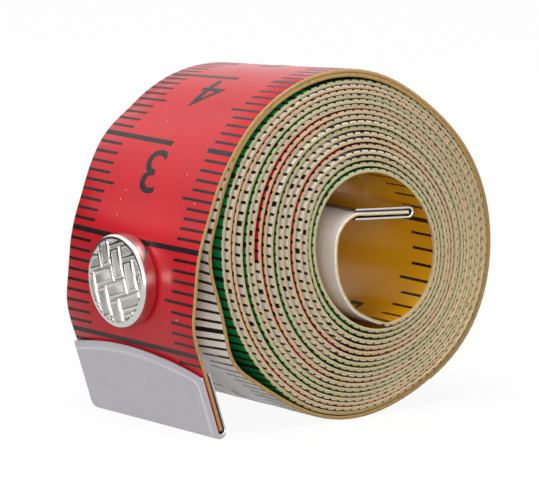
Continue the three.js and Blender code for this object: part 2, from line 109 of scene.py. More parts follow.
class TapeSizes(bpy.types.PropertyGroup):
    """Sizes of the cloth tape and of the roll it is wound into"""

    thickness: size("Thickness", "Thickness of the coated cloth", 0.3)
    coat: size("Coat", "Thickness of the colour coat on each face", 0.035)
    edge_swell: size("Edge swell", "How far the cut fibre stands out of the edge", 0.03)
    edge_slope: size("Edge slope", "Width over which the printed face slopes down to the edge", 0.09)
    edge_drop: size("Edge drop", "How far the printed face slopes down at the edge", 0.15)
    burr: size("Burr", "How far the cut edge swells towards the next layer where it has room", 0.12)
    bare_border: size("Bare border", "Width of the inch side that has no coat beside the edge", 0.45)
    section: size("Section", "Length of one colour section of the outer face", 99.1)
    roll_middle: lengths("Roll middle", "Middle of the roll", (-2.734, 0, 17.029))
    roll_radius: size("Roll radius", "Radius of the outer layer", 17.5)
    core_radius: size("Core radius", "Radius of the innermost layer", 7.5)
    core_shift_x: size("Core shift across", "How far the core is to the right of the middle", 2.95)
    core_shift_z: size("Core shift up", "How far the core is above the middle", -0.7)
    oval_outer: share("Outer oval", "Slant of the outer layer's oval", 0.097)
    oval_core: share("Core oval", "Slant of the core's oval", 0.163)
    turns: share("Turns", "Turns of the spiral from the right of the outer layer", 18.25)
    fullness: share("Fullness", "How much further out the middle layers lie than in an even spiral", 0.05)
    left_slack: size("Left slack", "How far in the twelfth layer hangs on the left", 0.9)
    stand_off: size("Stand-off", "How far the third layer stands off the second on the left", 0.8)
    left_wear: share("Left wear", "Share of the edges' wear on the left, where the layers hang loose", 0.15)
    settle: size("Settle", "How far the two outer layers have settled at the top", 0.42)
    lean_outer: size("Outer lean", "How much lower the back of the outer layer is at the top", 1.5)
    lean_core: size("Core lean", "How much lower the back of the core is at the top", 1.6)
    drift: size("Drift", "How far a layer's edge may stand out of the front", 0.07)
    second_layer_inset: size("Second layer inset", "How far the layer with the stud is pressed in", 1.05)
    stud_flat: size("Stud flat", "Half the height that the stud keeps flat", 3.6)
    stud_fade: size("Stud fade", "Height over which that flat fades", 5)
    stud_share: share("Stud share", "Share of that flat that reaches the tape's edges", -0.65)
    low_dent: size("Low dent", "How far the roll is pressed in at its lower right", 0.95)
    high_dent: size("High dent", "How far the roll is pressed in at its upper right", 0.4)
    edge_dip: lengths("Edge dip", "Dip of the free end's edges, its height and reach", (0.36, 1.8, 3))
    edge_curl: lengths("Edge curl", "Curl of those edges, its height and reach", (0.28, -6, 2.6))
    swell: lengths("Swell", "Bulge of the free end over the snap, its height and reach", (0.25, 7.5, 2.5))
    hang: lengths("Hang", "Bulge of the stud's layer at the front, its height and reach", (2.0, -8.8, 3.4))
    middle_band: size("Middle band", "Half the width that lies as the snap holds it", 3.3)
    end_straight: size("End straight", "Straight length at the zero end", 7.79)
    end_bend: angle("End bend", "Angle of the bend under the snap", 18.5)
    end_bend_radius: size("End bend radius", "Radius of the bend under the snap", 14)
    flat_below: size("Flat below snap", "Straight length under the snap's axis", 2.22)
    flat_above: size("Flat above snap", "Straight length above the snap's axis", 2.16)
    snap_bend_radius: size("Snap bend radius", "Radius of the bend above the snap", 9)
    inner_tilt: angle("Inner tilt", "Slope of the inner end's straight length", -4)


class PrintSizes(bpy.types.PropertyGroup):
    """Sizes of the printed scales and numbers"""

    ink: size("Ink", "Thickness of the printed ink", 0.016)
    scale_offset: size("Scale offset", "The tape's end lies this far past the scale's zero", 1.7)
    fine_line: size("Fine line", "Thickness of a millimetre line", 0.28)
    bold_line: size("Bold line", "Thickness of a centimetre line", 0.5)
    short_tick: size("Short tick", "Length of a millimetre line", 3.5)
    half_tick: size("Half tick", "Length of a half-centimetre line", 4.6)
    front_tick: size("Front tick", "Length of a centimetre line at the front edge", 3.8)
    back_tick: size("Back tick", "Length of a centimetre line at the back edge", 10.7)
    full_until: bpy.props.IntProperty(name="Full lines", default=20,
                                      description="Last millimetre whose line crosses the whole tape")
    inch_short_tick: size("Inch short tick", "Length of a sixteenth-inch line", 3)
    inch_half_tick: size("Inch quarter tick", "Length of a quarter-inch line", 4.2)
    inch_long_tick: size("Inch long tick", "Length of an inch line", 5.9)
    digit_height: size("Digit height", "Height of a number", 4.5)
    inch_digit_height: size("Inch digit height", "Height of an inch number", 3.8)
    digit_stretch: share("Digit stretch", "Extra width of a number", 1.12)
    digit_gap: size("Digit gap", "Space between a number and its line", 0.8)
    digit_across: size("Digit across", "How far a number lies behind the tape's middle", 0.4)
    inch_digit_across: size("Inch digit across", "How far an inch number's foot lies behind the middle", 0.7)


class ClipSizes(bpy.types.PropertyGroup):
    """Sizes of the metal clips at both ends of the tape"""

    sheet: size("Sheet", "Thickness of the clip's metal", 0.2)
    clearance: size("Clearance", "Space between the clip and the tape", 0.18)
    side: size("Side", "Length of the clip's leaves at the tape's edges", 7.05)
    inner_side: size("Inner side", "Length of the inner clip's leaves", 7.7)
    arch: size("Arch", "How far the zero clip's edge is arched", 1.3)
    skew: size("Skew", "How much longer the zero clip's leaves are at the back than in the middle", 0.35)
    inner_arch: size("Inner arch", "How far the inner clip's edge is arched", 0.1)
    corner: size("Corner", "Radius of the corners at the fold", 0.5)
    fold_space: size("Fold space", "Space between the tape's end and the fold", 0.25)
    border: size("Border", "Width of the plain border round the raised panel", 0.8)
    panel: size("Panel", "Height of the raised panel", 0.06)


class SnapSizes(bpy.types.PropertyGroup):
    """Sizes of the snap fastener's pieces"""

    cap_radius: size("Cap radius", "Radius of the cap", 4.5)
    cap_height: size("Cap height", "Height of the cap over the tape", 1.7)
    cap_wall: size("Cap wall", "Thickness of the cap's metal", 0.45)
    rim: size("Rim", "Width of the cap's polished rim", 0.35)
    strip: size("Strip", "Width of a strip of the pressed weave", 1.6)
    relief: size("Relief", "Depth of the pressed weave", 0.2)
    recess: size("Recess", "Depth of the stippled field within a strip's polished border", 0.05)
    stipple: size("Stipple", "Depth of the stipple on the strips", 0.045)
    stipple_pitch: size("Stipple pitch", "Distance between the stipple's dots", 0.32)
    dome: size("Dome", "How far the middle of the cap stands out", 0.2)
    weave_angle: angle("Weave angle", "Slope of the pressed weave", 19)
    post_radius: size("Post radius", "Radius of the cap's post", 1.3)
    socket_radius: size("Socket radius", "Radius of the socket", 3.3)
    groove_radius: size("Groove radius", "Radius of the socket's groove", 2.8)
    mouth_radius: size("Mouth radius", "Radius of the socket's mouth", 2.15)
    wire_radius: size("Wire radius", "Radius of the spring's wire", 0.18)
    spring_space: size("Spring space", "Half the space between the spring's arms", 1.42)
    spring_arm: size("Spring arm", "How far the spring's arms reach past the axis", 1.5)
    stud_radius: size("Stud radius", "Radius of the stud's flange", 3.1)
    neck_radius: size("Neck radius", "Radius of the stud's neck", 1.12)
    head_radius: size("Head radius", "Radius of the stud's head", 1.5)


class Finishes(bpy.types.PropertyGroup):
    """Colours of the tape, the print and the metal"""

    red: colour("Red", "Red coat", "#C6202A")
    white: colour("White", "White coat", "#E9E2DA")
    green: colour("Green", "Green coat", "#0D7A3D")
    yellow: colour("Yellow", "Yellow coat of the inch side", "#D6980C")
    red_edge: colour("Red edge", "Red coat worn at the edge", "#EEB3AC")
    white_edge: colour("White edge", "White coat worn at the edge", "#F3E9E4")
    green_edge: colour("Green edge", "Green coat worn at the edge", "#B2D0AA")
    cut_edge: colour("Cut edge", "Cut cloth at the edge", "#D8C394")
    rubbed_coat: colour("Rubbed coat", "Worn coat of the outer layers' edges", "#C4A06C")
    rubbed_edge: colour("Rubbed edge", "Cut cloth of the outer layers", "#BC965A")
    ink: colour("Ink", "Printing ink", "#1E191B")
    steel: colour("Steel", "Plated steel of the clips", "#C6C3C9")
    nickel: colour("Nickel", "Bright nickel of the snap", "#DEDBD6")
    wire: colour("Wire", "Spring wire", "#A9A8A6")
    floor: colour("Floor", "Floor under the tape", "#F4F3F2")


class StageSizes(bpy.types.PropertyGroup):
    """The camera's place and the studio's sizes"""

    azimuth: angle("Azimuth", "Direction of the camera round the object", -38.736)
    elevation: angle("Elevation", "Height of the camera above the horizon", 9.81)
    distance: size("Distance", "Distance of the camera from its target", 488.37)
    focal: bpy.props.FloatProperty(name="Focal length", default=333.96, description="Camera lens in mm")
    target: lengths("Target", "Point that the camera looks at", (-5.09, 0, 16.64))
    floor: size("Floor", "Half the width of the floor", 3000)


# Small tools

def ease(value, low, high):
    """A smooth step from 0 at low to 1 at high."""
    t = np.clip((value - low) / (high - low), 0, 1)
    return t * t * (3 - 2 * t)


def bell(value, middle, reach):
    """A smooth bell: 1 at its middle, about a third at its reach."""
    return np.exp(-((value - middle) / reach) ** 2)


def between(first, last, part):
    return first + (last - first) * part


def add(tree, kind, inputs=None, **settings):
    """Adds a node with its settings, and fills its inputs with values, sockets or other nodes' outputs."""
    node = tree.nodes.new(kind)
    for key, value in settings.items():
        setattr(node, key, value)
    for key, value in (inputs or {}).items():
        if isinstance(value, bpy.types.Node):
            value = next(socket for socket in value.outputs if socket.enabled)
        if isinstance(value, bpy.types.NodeSocket):
            tree.links.new(value, node.inputs[key])
        else:
            node.inputs[key].default_value = value
    return node


def new_object(name, data, *materials):
    piece = bpy.data.objects.new(name, data)
    bpy.context.scene.collection.objects.link(piece)
    for made in materials:
        data.materials.append(made)
    return piece


def new_mesh(name, points, faces):
    mesh = bpy.data.meshes.new(name)
    mesh.from_pydata(np.asarray(points).tolist(), [], faces)
    return mesh


def grid_faces(rows, columns, around=False):
    """Faces of a grid of points, row after row. Around, the last column is joined to the first."""
    row = np.arange(rows - 1)[:, None] * columns
    column = np.arange(columns if around else columns - 1)
    here, beside = row + column, row + (column + 1) % columns
    return np.stack([here, here + columns, beside + columns, beside], -1).reshape(-1, 4).tolist()


def move_points(mesh, points):
    mesh.vertices.foreach_set("co", points.astype(np.float32).ravel())


def applied(piece):
    """Turns a piece with modifiers, or a curve or a text, into a plain mesh object of the same name."""
    name = piece.name
    bpy.context.view_layer.update()
    source = piece.evaluated_get(bpy.context.evaluated_depsgraph_get())
    mesh = bpy.data.meshes.new_from_object(source)
    bpy.data.objects.remove(piece)
    mesh.name = name
    return new_object(name, mesh)


def bevel(piece, width, sharp):
    """Rounds the edges that are sharper than that many degrees."""
    edge = piece.modifiers.new("Edge", "BEVEL")
    edge.width = width
    edge.segments = 2
    edge.limit_method = "ANGLE"
    edge.angle_limit = math.radians(sharp)


def smooth(mesh, sharp):
    """Smooth shading, with edges sharper than that many degrees left sharp."""
    mesh.polygons.foreach_set("use_smooth", [True] * len(mesh.polygons))
    mesh.set_sharp_from_angle(angle=math.radians(sharp))


def outward(mesh):
    """Merges double points and turns every face of a closed mesh outwards."""
    bm = bmesh.new()
    bm.from_mesh(mesh)
    bmesh.ops.remove_doubles(bm, verts=bm.verts, dist=TOUCHING)
    bmesh.ops.recalc_face_normals(bm, faces=bm.faces)
    bm.to_mesh(mesh)
    bm.free()


def mount(piece, plate, body, node):
    """Gives a metal piece its material and the body that carries it, and hides the CAD node it stands for.
    """
    piece.data.materials.append(plate)
    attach(piece, body)
    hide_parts(node)


# The tape's way from its zero end, round the roll and into the core

class TapeRoute:
    """The tape's middle line, and the places of points on the tape.

    s runs along the tape from its zero end, v across it towards the back, h out of its printed side.
    Turn 0 of the roll is at nine o'clock, a quarter at the top.
    """

    STEP = 0.1 * MM
    STEPS_PER_TURN = 720
    LOOSE_FROM = 1.45                   # turn at which the layers start to stand off
    LIFTED = (0.2, 0.65)                # turns before nine o'clock and in all in which a layer stands off
    SQUASH_BELOW = -6 * MM
    FOOT_TURNS = (0.6, 0.9)             # the roll's lowest point lies between these
    MEETING_TURNS = (0.02, 0.24)        # and the free end meets the roll between these
    SLACK_LAYERS = (2, 3, 4, 5, 7, 9, 12, 16, 18)
    SLACK_SHARES = (0, 0.2, 0.12, 0.5, 0.72, 0.98, 1.02, 0.96, 0.25)    # of the slack on the left, by layer
    LOW_DENT = (0.675, 0.08)            # turn and reach
    HIGH_DENT = (0.345, 0.06)
    SETTLED_UNTIL = 1.6                 # turn
    SETTLING, SETTLED = (-4, 28), (115, 178)    # degrees from nine o'clock where the layers sink and rise
    LEAVES_BEFORE = 0.03                # the inner end leaves the coil this many turns before its end
    LEAD_IN = 0.04
    FIRST_LEAN = math.radians(30)       # a guess at the lean of the bend above the snap
    LEAN_ROUNDS = 40                    # in which the guess is bettered
    JOINING = 0.06                      # turns over which the free end joins the roll
    FREE_UNTIL = 0.2                    # turn by which it has joined
    WEAR_FADE = 0.1
    LAYER_PART = 0.25                   # turns on each side of the stud that it shapes
    PRESS = ((2, 0.36 * MM), (3, 0.16 * MM))    # layers under the stud, and how far it presses them in
    PRESS_REACH = 4.5 * MM
    HANG_TURN = 0.9
    LEAN_ENDS = (38 * MM, 62 * MM)      # the lean fades this far from the inner end
    DRIFT_STARTS = (70 * MM, 120 * MM)
    DRIFT_WAVES = ((27 * MM, 1), (9.7 * MM, 0.6))   # length of a wave over two pi, and its share
    DRAWN_CORE = 7.7                    # the inner end is drawn in mm for a core of this radius
    INNER_TIP = (4.64, 3.3)
    INNER_WALL = ((-2.35, -6.2), (-4.15, -4.3), (-5.05, -2.3), (-5.3, -0.2))
    INNER_ELBOW = ((-2.35, -2.15), (-1.85, -1.15), (-1.0, -0.38), (0.2, 0.0))
    CLIP_ROOM = 0.15 * MM
    AFTER_ELBOW = 1.5 * MM

    def __init__(self, scene):
        self.tape = scene.tape_sizes
        low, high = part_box("tape_coil")
        self.width = high.y - low.y
        self.clip_side = scene.clip_sizes.side
        self.middle = Vector(self.tape.roll_middle)
        low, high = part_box("snap_cap")
        snap_x = high.x + SEAT + CAD_THICKNESS / 2
        self.snap = np.array([snap_x - self.middle.x, (low.z + high.z) / 2 - self.middle.z])
        self.stud_plane = -(self.tape.roll_radius - self.tape.second_layer_inset)
        self.measure_foot()
        self.lay()

    def measure_foot(self):
        """How much the roll's foot is squashed so that it stands on the floor."""
        lowest = self.loose(np.linspace(*self.FOOT_TURNS, 600))[:, 1].min()
        floor = self.tape.thickness / 2 - self.middle.z
        self.squash = (floor - self.SQUASH_BELOW) / (lowest - self.SQUASH_BELOW)

    def inward(self, turn):
        """How far in a layer is, from 0 outside to 1 at the core."""
        wound = np.maximum(turn - 0.5, 0) / self.tape.turns
        return wound - self.tape.fullness * np.sin(np.pi * wound)

    def left(self, turn):
        """1 on the left of the roll, 0 on its right."""
        return (1 + np.cos(2 * np.pi * turn)) / 2

    def loose(self, turn):
        """Points of the loose spiral about the roll's middle."""
        tape = self.tape
        inward = self.inward(turn)
        radius = between(tape.roll_radius, tape.core_radius, inward)
        oval = between(tape.oval_outer, tape.oval_core, inward)
        loose = np.where(turn > self.LOOSE_FROM, 1 - inward, 0)
        before, part = self.LIFTED
        lifted = np.clip((turn + before) % 1 / part, 0, 1)
        radius = radius - loose * tape.stand_off * np.sin(np.pi * lifted)
        slack = tape.left_slack * np.interp(turn, self.SLACK_LAYERS, self.SLACK_SHARES)
        radius = radius - slack * self.left(turn) ** 5
        for dent, place in ((tape.low_dent, self.LOW_DENT), (tape.high_dent, self.HIGH_DENT)):
            radius = radius - dent * (1 - inward) * bell(turn % 1, *place)
        side = -radius * np.cos(2 * np.pi * turn)
        rise = radius * np.sin(2 * np.pi * turn) - oval * side
        return np.stack([tape.core_shift_x * inward + side, tape.core_shift_z * inward + rise], -1)

    def spiral(self, turn):
        """Points of the spiral as it stands, a little flattened by its weight."""
        points = self.loose(np.asarray(turn, float))
        low = np.minimum(points[..., 1] - self.SQUASH_BELOW, 0)
        points[..., 1] += low * (self.squash - 1)
        return points

    def settled(self, points):
        """The two outer layers sink a little at the top."""
        radius = np.hypot(points[:, 0], points[:, 1])
        clock = np.degrees(np.arctan2(points[:, 1], -points[:, 0]))
        sink = ease(clock, *self.SETTLING) * (1 - ease(clock, *self.SETTLED))
        return points - points * (self.tape.settle * sink / radius)[:, None]

    def free_end(self):
        """Points of the free end up to the roll, and the turn at which it lies on the roll."""
        tape = self.tape
        steps = np.linspace(0, 1, 40)[:, None]

        def arc(centre, radius, turned):
            return centre + radius * np.hstack([np.cos(turned), np.sin(turned)])

        centre = self.snap + [tape.end_bend_radius, -tape.flat_below]
        bend = arc(centre, tape.end_bend_radius, np.pi + tape.end_bend * (1 - steps))
        along = np.array([math.sin(tape.end_bend), -math.cos(tape.end_bend)])
        tip = bend[0] + along * tape.end_straight
        centre = self.snap + [tape.snap_bend_radius, tape.flat_above]
        turns = np.linspace(*self.MEETING_TURNS, 4000)
        points, ahead = self.spiral(turns), self.spiral(turns + 1e-4)
        # the bend above the snap leans until the straight after it touches the roll
        lean = self.FIRST_LEAN
        for _ in range(self.LEAN_ROUNDS):
            start = centre + tape.snap_bend_radius * np.array([-math.cos(lean), math.sin(lean)])
            towards, course = points - start, ahead - points
            miss = towards[:, 0] * course[:, 1] - towards[:, 1] * course[:, 0]
            meeting = int(np.argmax(np.sign(miss[1:]) != np.sign(miss[:-1])))
            lean += (math.atan2(*towards[meeting]) - lean) / 2
        upper = arc(centre, tape.snap_bend_radius, np.pi - lean * steps)
        return np.vstack([tip, bend, upper]), turns[meeting]

    def inner_end(self, leaves):
        """Points of the inner end: up the left of the core and across it to the clip."""
        tape = self.tape
        centre = np.array([tape.core_shift_x, tape.core_shift_z])
        scale = tape.core_radius / self.DRAWN_CORE
        tip = centre + scale * np.array(self.INNER_TIP)
        along = np.array([math.cos(tape.inner_tilt), math.sin(tape.inner_tilt)])
        straight = tip - along * (self.clip_side + self.CLIP_ROOM)
        route = [self.spiral(leaves - self.LEAD_IN), self.spiral(leaves)]
        route += [centre + scale * np.array(spot) for spot in self.INNER_WALL]
        route += [straight + np.array(spot) * MM for spot in self.INNER_ELBOW]
        route += [straight + along * self.AFTER_ELBOW, tip, 2 * tip - straight]
        return smooth_line(np.array(route), 24)

    def lay(self):
        """Lays the whole line at even steps, and keeps how the tape lies about it."""
        start, meeting = self.free_end()
        leaves = self.tape.turns + 0.5 - self.LEAVES_BEFORE
        turns = np.linspace(meeting, leaves, int(self.STEPS_PER_TURN * self.tape.turns))
        end = self.inner_end(leaves)
        line = np.vstack([start, self.spiral(turns), end[1:]])
        turn = np.concatenate([np.full(len(start), meeting), turns, np.full(len(end) - 1, leaves)])
        early = turn < self.SETTLED_UNTIL
        line[early] = self.settled(line[early])
        run = np.concatenate([[0], np.cumsum(np.hypot(*np.diff(line, axis=0).T))])
        self.length = run[-1]
        self.s = np.linspace(0, self.length, int(self.length / self.STEP))
        x, z, turn = (np.interp(self.s, run, row) for row in (line[:, 0], line[:, 1], turn))
        course = np.gradient(np.stack([x, z]), axis=1)
        course = course / np.hypot(*course)
        self.wear(x, z, turn, meeting, leaves)
        self.rows = (x + self.middle.x, z + self.middle.z, *course, *self.offsets(x, z, turn, meeting))

    def wear(self, x, z, turn, meeting, leaves):
        """How far the cut edge swells into the space that the next layer leaves it, and the face drops."""
        burr = self.tape.burr
        coil = (turn > meeting) & (turn < leaves)
        ahead = [np.interp(turn + 1, turn[coil], row[coil]) for row in (x, z)]
        room = np.hypot(ahead[0] - x, ahead[1] - z) - self.tape.thickness
        room = np.where(turn + 1 < leaves, room, 2 * burr)
        fade = self.WEAR_FADE
        room = room * ease(turn, meeting, meeting + fade) * ease(leaves - turn, 0, fade)
        wear = 1 - (1 - self.tape.left_wear) * self.left(turn) ** 2
        self.burr = np.clip(room / 2, 0, burr) * wear
        self.drop = self.tape.edge_drop * wear

    def offsets(self, x, z, turn, meeting):
        """How far the tape's middle, edges and front lie off the line, its lean and its drift."""
        tape = self.tape
        joined = ease(turn, meeting, meeting + self.JOINING)
        # the stud keeps the second layer's middle flat and presses on the two layers under it
        away = np.abs(z - self.snap[1])
        near = 1 - ease(away, tape.stud_flat, tape.stud_flat + tape.stud_fade)
        middle = np.where(abs(turn - 1) < self.LAYER_PART, (self.stud_plane - x) * near, 0)
        edge = middle * tape.stud_share
        press = bell(away, 0, self.PRESS_REACH)
        for layer, depth in self.PRESS:
            middle += np.where(abs(turn - layer) < self.LAYER_PART, depth * press, 0)
        # the free end's edges lie nearer to the roll than its middle, which the snap holds out
        dip, curl, bulge, hang = (far * bell(z, height, reach) for far, height, reach in (
            tape.edge_dip, tape.edge_curl, tape.swell, tape.hang))
        free = np.where(turn < self.FREE_UNTIL, 1 - joined, 0)
        edge += (dip - curl - bulge) * free
        middle -= bulge * free
        # the layer with the stud hangs out below it, most at the front
        hang = np.where(abs(turn - self.HANG_TURN) < self.LAYER_PART, hang, 0)
        # the back of the roll hangs lower at the top
        above = np.clip(np.sin(2 * np.pi * turn), 0, 1)
        lean = between(tape.lean_outer, tape.lean_core, self.inward(turn))
        lean = lean * above * ease(self.length - self.s, *self.LEAN_ENDS) * joined
        waves = sum(part * np.sin(self.s / length) for length, part in self.DRIFT_WAVES)
        drift = tape.drift * ease(self.s, *self.DRIFT_STARTS) * waves
        return middle, edge, hang, lean, drift

    def along(self, s, row):
        """The value of a row at s."""
        return np.interp(s, self.s, row)

    def at(self, s, v=0.0, h=0.0):
        """Rows of x, y, z of points at s along the tape, v across it and h out from its middle."""
        s, v, h = np.broadcast_arrays(s, v, h)
        values = (self.along(s, row) for row in self.rows)
        x, z, course_x, course_z, middle, edge, hang, lean, drift = values
        band = self.tape.middle_band
        outer = np.clip((np.abs(v) - band) / (self.width / 2 - band), 0, 1)
        out = h - lean * (v / self.width + 0.5)
        x = x - course_z * out + between(middle, edge, outer) - hang * (0.5 - v / self.width)
        return np.stack([x, v + h * lean / self.width + drift, z + course_x * out], -1)

    def nearest(self, point):
        """The run s of the place on the middle line that is nearest to a point."""
        return self.s[np.argmin(np.hypot(self.rows[0] - point[0], self.rows[1] - point[2]))]

    def course(self, s):
        """The tape's direction, and the direction out of its printed side, at s."""
        x, z = (self.along(s, row) for row in self.rows[2:4])
        return np.array([x, 0, z]), np.array([-z, 0, x])


def smooth_line(points, steps):
    """Points of a smooth line through all but the first and last of these points."""
    t = np.linspace(0, 1, steps, endpoint=False)[:, None]
    line = []
    for a, b, c, d in zip(points, points[1:], points[2:], points[3:]):
        line.append(b + t * (c - a + t * (2 * a - 5 * b + 4 * c - d + t * (3 * (b - c) + d - a))) / 2)
    return np.vstack([*line, points[-2]])


class Stretch(NamedTuple):
    """One stretch of the tape: the CAD node it stands for, its part of the line and how it moves."""

    name: str
    node: str
    bodies: tuple
    start: float
    stop: float
    bend: tuple

    def carry(self, piece):
        """Makes a piece on a stretch without a bend move with its body; on a bending stretch it only bakes
        the piece's place into its points.
        """
        if self.bend is None:
            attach(piece, self.bodies[0])
        else:
            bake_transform(piece)


STRETCHES = (
    ("end", "tape_end_stretch", ("middle_stretch", "free_end")),
    ("middle", "tape_middle_stretch", ("upper_stretch", "middle_stretch")),
    ("upper", "tape_upper_stretch", ("roll", "upper_stretch")),
    ("coil", "tape_coil", ("roll",)),
    ("inner", "tape_inner_end", ("roll", "inner_end")),
)
BENDS = {"end": 4 * MM, "middle": 2.5 * MM, "upper": 3 * MM}    # half the length of the bend at each joint
INNER_BEND = (0.05 * MM, 2.3 * MM)      # heights over its joint between which the inner end bends
PAST_UPPER_JOINT = 17 * MM
BEFORE_INNER_JOINT = 2 * MM


def stretches(route):
    """The tape's five stretches. Each one but the coil holds two points that span its own joint."""
    joints = {joint["name"]: np.array(joint["pos_m"]) for joint in frame["joints"]}
    runs = {name: route.nearest(joints[name + "_bend"]) for name in BENDS}
    bends = {name: (route.at(run + BENDS[name]), route.at(run - BENDS[name])) for name, run in runs.items()}
    inner = joints["inner_end_flex"]
    bends["inner"] = tuple(inner + [0, 0, height] for height in INNER_BEND)
    end, middle, upper = runs.values()
    cuts = (0, (end + middle) / 2, (middle + upper) / 2, upper + PAST_UPPER_JOINT,
            route.nearest(inner) - BEFORE_INNER_JOINT, route.length)
    return [Stretch(*kind, start, stop, bends.get(kind[0]))
            for kind, start, stop in zip(STRETCHES, cuts, cuts[1:])]


# Materials

VINYL_IOR = 1.34


def maths(tree, operation, *terms):
    return add(tree, "ShaderNodeMath", dict(enumerate(terms)), operation=operation)


def mix(tree, part, first, second, kind="MIX"):
    """A colour mixed of two, with that part of the second one."""
    return add(tree, "ShaderNodeMix", {0: part, 6: first, 7: second}, data_type="RGBA", blend_type=kind)


def noise(tree, place, width, detail=3):
    """A soft noise with patches about that wide."""
    return add(tree, "ShaderNodeTexNoise", {"Vector": place, "Scale": 1 / width, "Detail": detail})


def spread(tree, value, low, high, start=0.3, stop=0.7):
    """Spreads the values from start to stop, where most of a noise lies, over low to high."""
    return add(tree, "ShaderNodeMapRange", {0: value, 1: start, 2: stop, 3: low, 4: high})


def bump(tree, height, depth):
    return add(tree, "ShaderNodeBump", {"Height": height, "Distance": depth, "Strength": 0.5})


def material(name, build, *values):
    """The material of that name, built once. Its build adds the nodes and returns the last one."""
    found = bpy.data.materials.get(name)
    if found:
        return found
    made = bpy.data.materials.new(name)
    made.use_nodes = True
    tree = made.node_tree
    tree.nodes.clear()
    add(tree, "ShaderNodeOutputMaterial", {"Surface": build(tree, *values)})
    return made


def coated_cloth(tree, colour):
    """Glass-fibre cloth with a printed vinyl coat: a satin face, a faint weave and specks of dust."""
    uv = add(tree, "ShaderNodeUVMap", uv_map="Tape")     # millimetres along and across
    # the coat is a little lighter, darker, duller and glossier in patches of 7 mm
    broad = noise(tree, uv, 7, detail=4)
    gloss = spread(tree, broad, 0.2, 0.28)
    tinted = mix(tree, 1.0, tuple(colour), spread(tree, broad, 0.93, 1.05), "MULTIPLY")
    # a few white specks of about 0.1 mm, one to every 2 mm or so
    cells = add(tree, "ShaderNodeTexVoronoi", {"Vector": uv, "Scale": 1 / 1.3})
    draw = add(tree, "ShaderNodeSeparateColor", {0: cells.outputs["Color"]})
    near, some = maths(tree, "LESS_THAN", cells, 0.05), maths(tree, "GREATER_THAN", draw, 0.55)
    faint = maths(tree, "MULTIPLY", maths(tree, "MULTIPLY", near, some), 0.75)
    dusted = mix(tree, faint, tinted, linear("#F2ECEA"))
    # threads 0.45 mm apart show faintly through the coat
    weave = add(tree, "ShaderNodeTexChecker", {"Vector": uv, "Scale": 1 / 0.45}).outputs["Fac"]
    relief = bump(tree, maths(tree, "MULTIPLY_ADD", weave, 0.15, noise(tree, uv, 0.5)), 0.01 * MM)
    return add(tree, "ShaderNodeBsdfPrincipled",
               {"Base Color": dusted, "Roughness": gloss, "Normal": relief, "IOR": VINYL_IOR})


def cut_fibre(tree, colour, rubbed_colour):
    """The cut edge of the cloth: pale threads end side by side, browner where hands rub the outer layers."""
    uv = add(tree, "ShaderNodeUVMap", uv_map="Tape")
    along = add(tree, "ShaderNodeSeparateXYZ", {0: uv})
    # the two outer layers end between 196 and 222 mm
    rubbed = spread(tree, along, 1, 0, 196, 222)
    plain = mix(tree, rubbed, tuple(colour), tuple(rubbed_colour))
    # bundles of thread 1 mm apart, each a little lighter or darker than the next
    bundle = maths(tree, "SINE", maths(tree, "MULTIPLY", along, 2 * math.pi))
    threads = maths(tree, "MULTIPLY_ADD", bundle, 0.06, noise(tree, uv, 0.5))
    toned = mix(tree, 1.0, plain, spread(tree, threads, 0.82, 1.06), "MULTIPLY")
    relief = bump(tree, threads, 0.04 * MM)
    return add(tree, "ShaderNodeBsdfPrincipled", {"Base Color": toned, "Roughness": 0.75, "Normal": relief})


def printing_ink(tree, colour):
    """Screen-printing ink: near black, matt, a little uneven where it is thin."""
    spot = add(tree, "ShaderNodeTexCoord").outputs["Object"]
    worn = spread(tree, noise(tree, spot, 0.8 * MM), 0.0, 0.22, 0.45, 0.8)
    toned = mix(tree, worn, tuple(colour), linear("#5A4A4C"))
    return add(tree, "ShaderNodeBsdfPrincipled", {"Base Color": toned, "Roughness": 0.28, "IOR": VINYL_IOR})


def ink_material():
    return material("screen_printing_ink", printing_ink, bpy.context.scene.tape_finishes.ink)


def plated_metal(tree, colour, roughness, grain, depth):
    """Plated sheet metal: a soft grain, fine pits and cloudy wear, and a painted highlight on its raised
    lines, where the colour turns whiter.
    """
    spot = add(tree, "ShaderNodeTexCoord").outputs["Object"]
    cloud = noise(tree, spot, 2.5 * MM, detail=4)
    gloss = spread(tree, cloud, roughness * 0.85, roughness * 1.15)
    toned = mix(tree, 1.0, tuple(colour), spread(tree, cloud, 0.94, 1.04), "MULTIPLY")
    highlight = add(tree, "ShaderNodeAttribute", attribute_name="Painted_Highlight").outputs["Fac"]
    # painted highlight: the colour is mixed towards white where the mesh's highlight attribute is high
    highlighted = mix(tree, highlight, toned, (1, 1, 1, 1))
    relief = bump(tree, noise(tree, spot, grain), depth)
    return add(tree, "ShaderNodeBsdfPrincipled",
               {"Base Color": highlighted, "Metallic": 1.0, "Roughness": gloss, "Normal": relief})


METALS = {      # colour, roughness, width of the grain and its depth
    "satin_plated_steel": ("steel", 0.42, 0.25 * MM, 0.006 * MM),
    "bright_plated_steel": ("nickel", 0.12, 0.3 * MM, 0.004 * MM),
    "bright_nickel_plate": ("nickel", 0.17, 0.3 * MM, 0.006 * MM),
    "drawn_spring_wire": ("wire", 0.3, 0.2 * MM, 0.004 * MM),
}


def metal(name):
    tone, *surface = METALS[name]
    return material(name, plated_metal, getattr(bpy.context.scene.tape_finishes, tone), *surface)


# Cloth

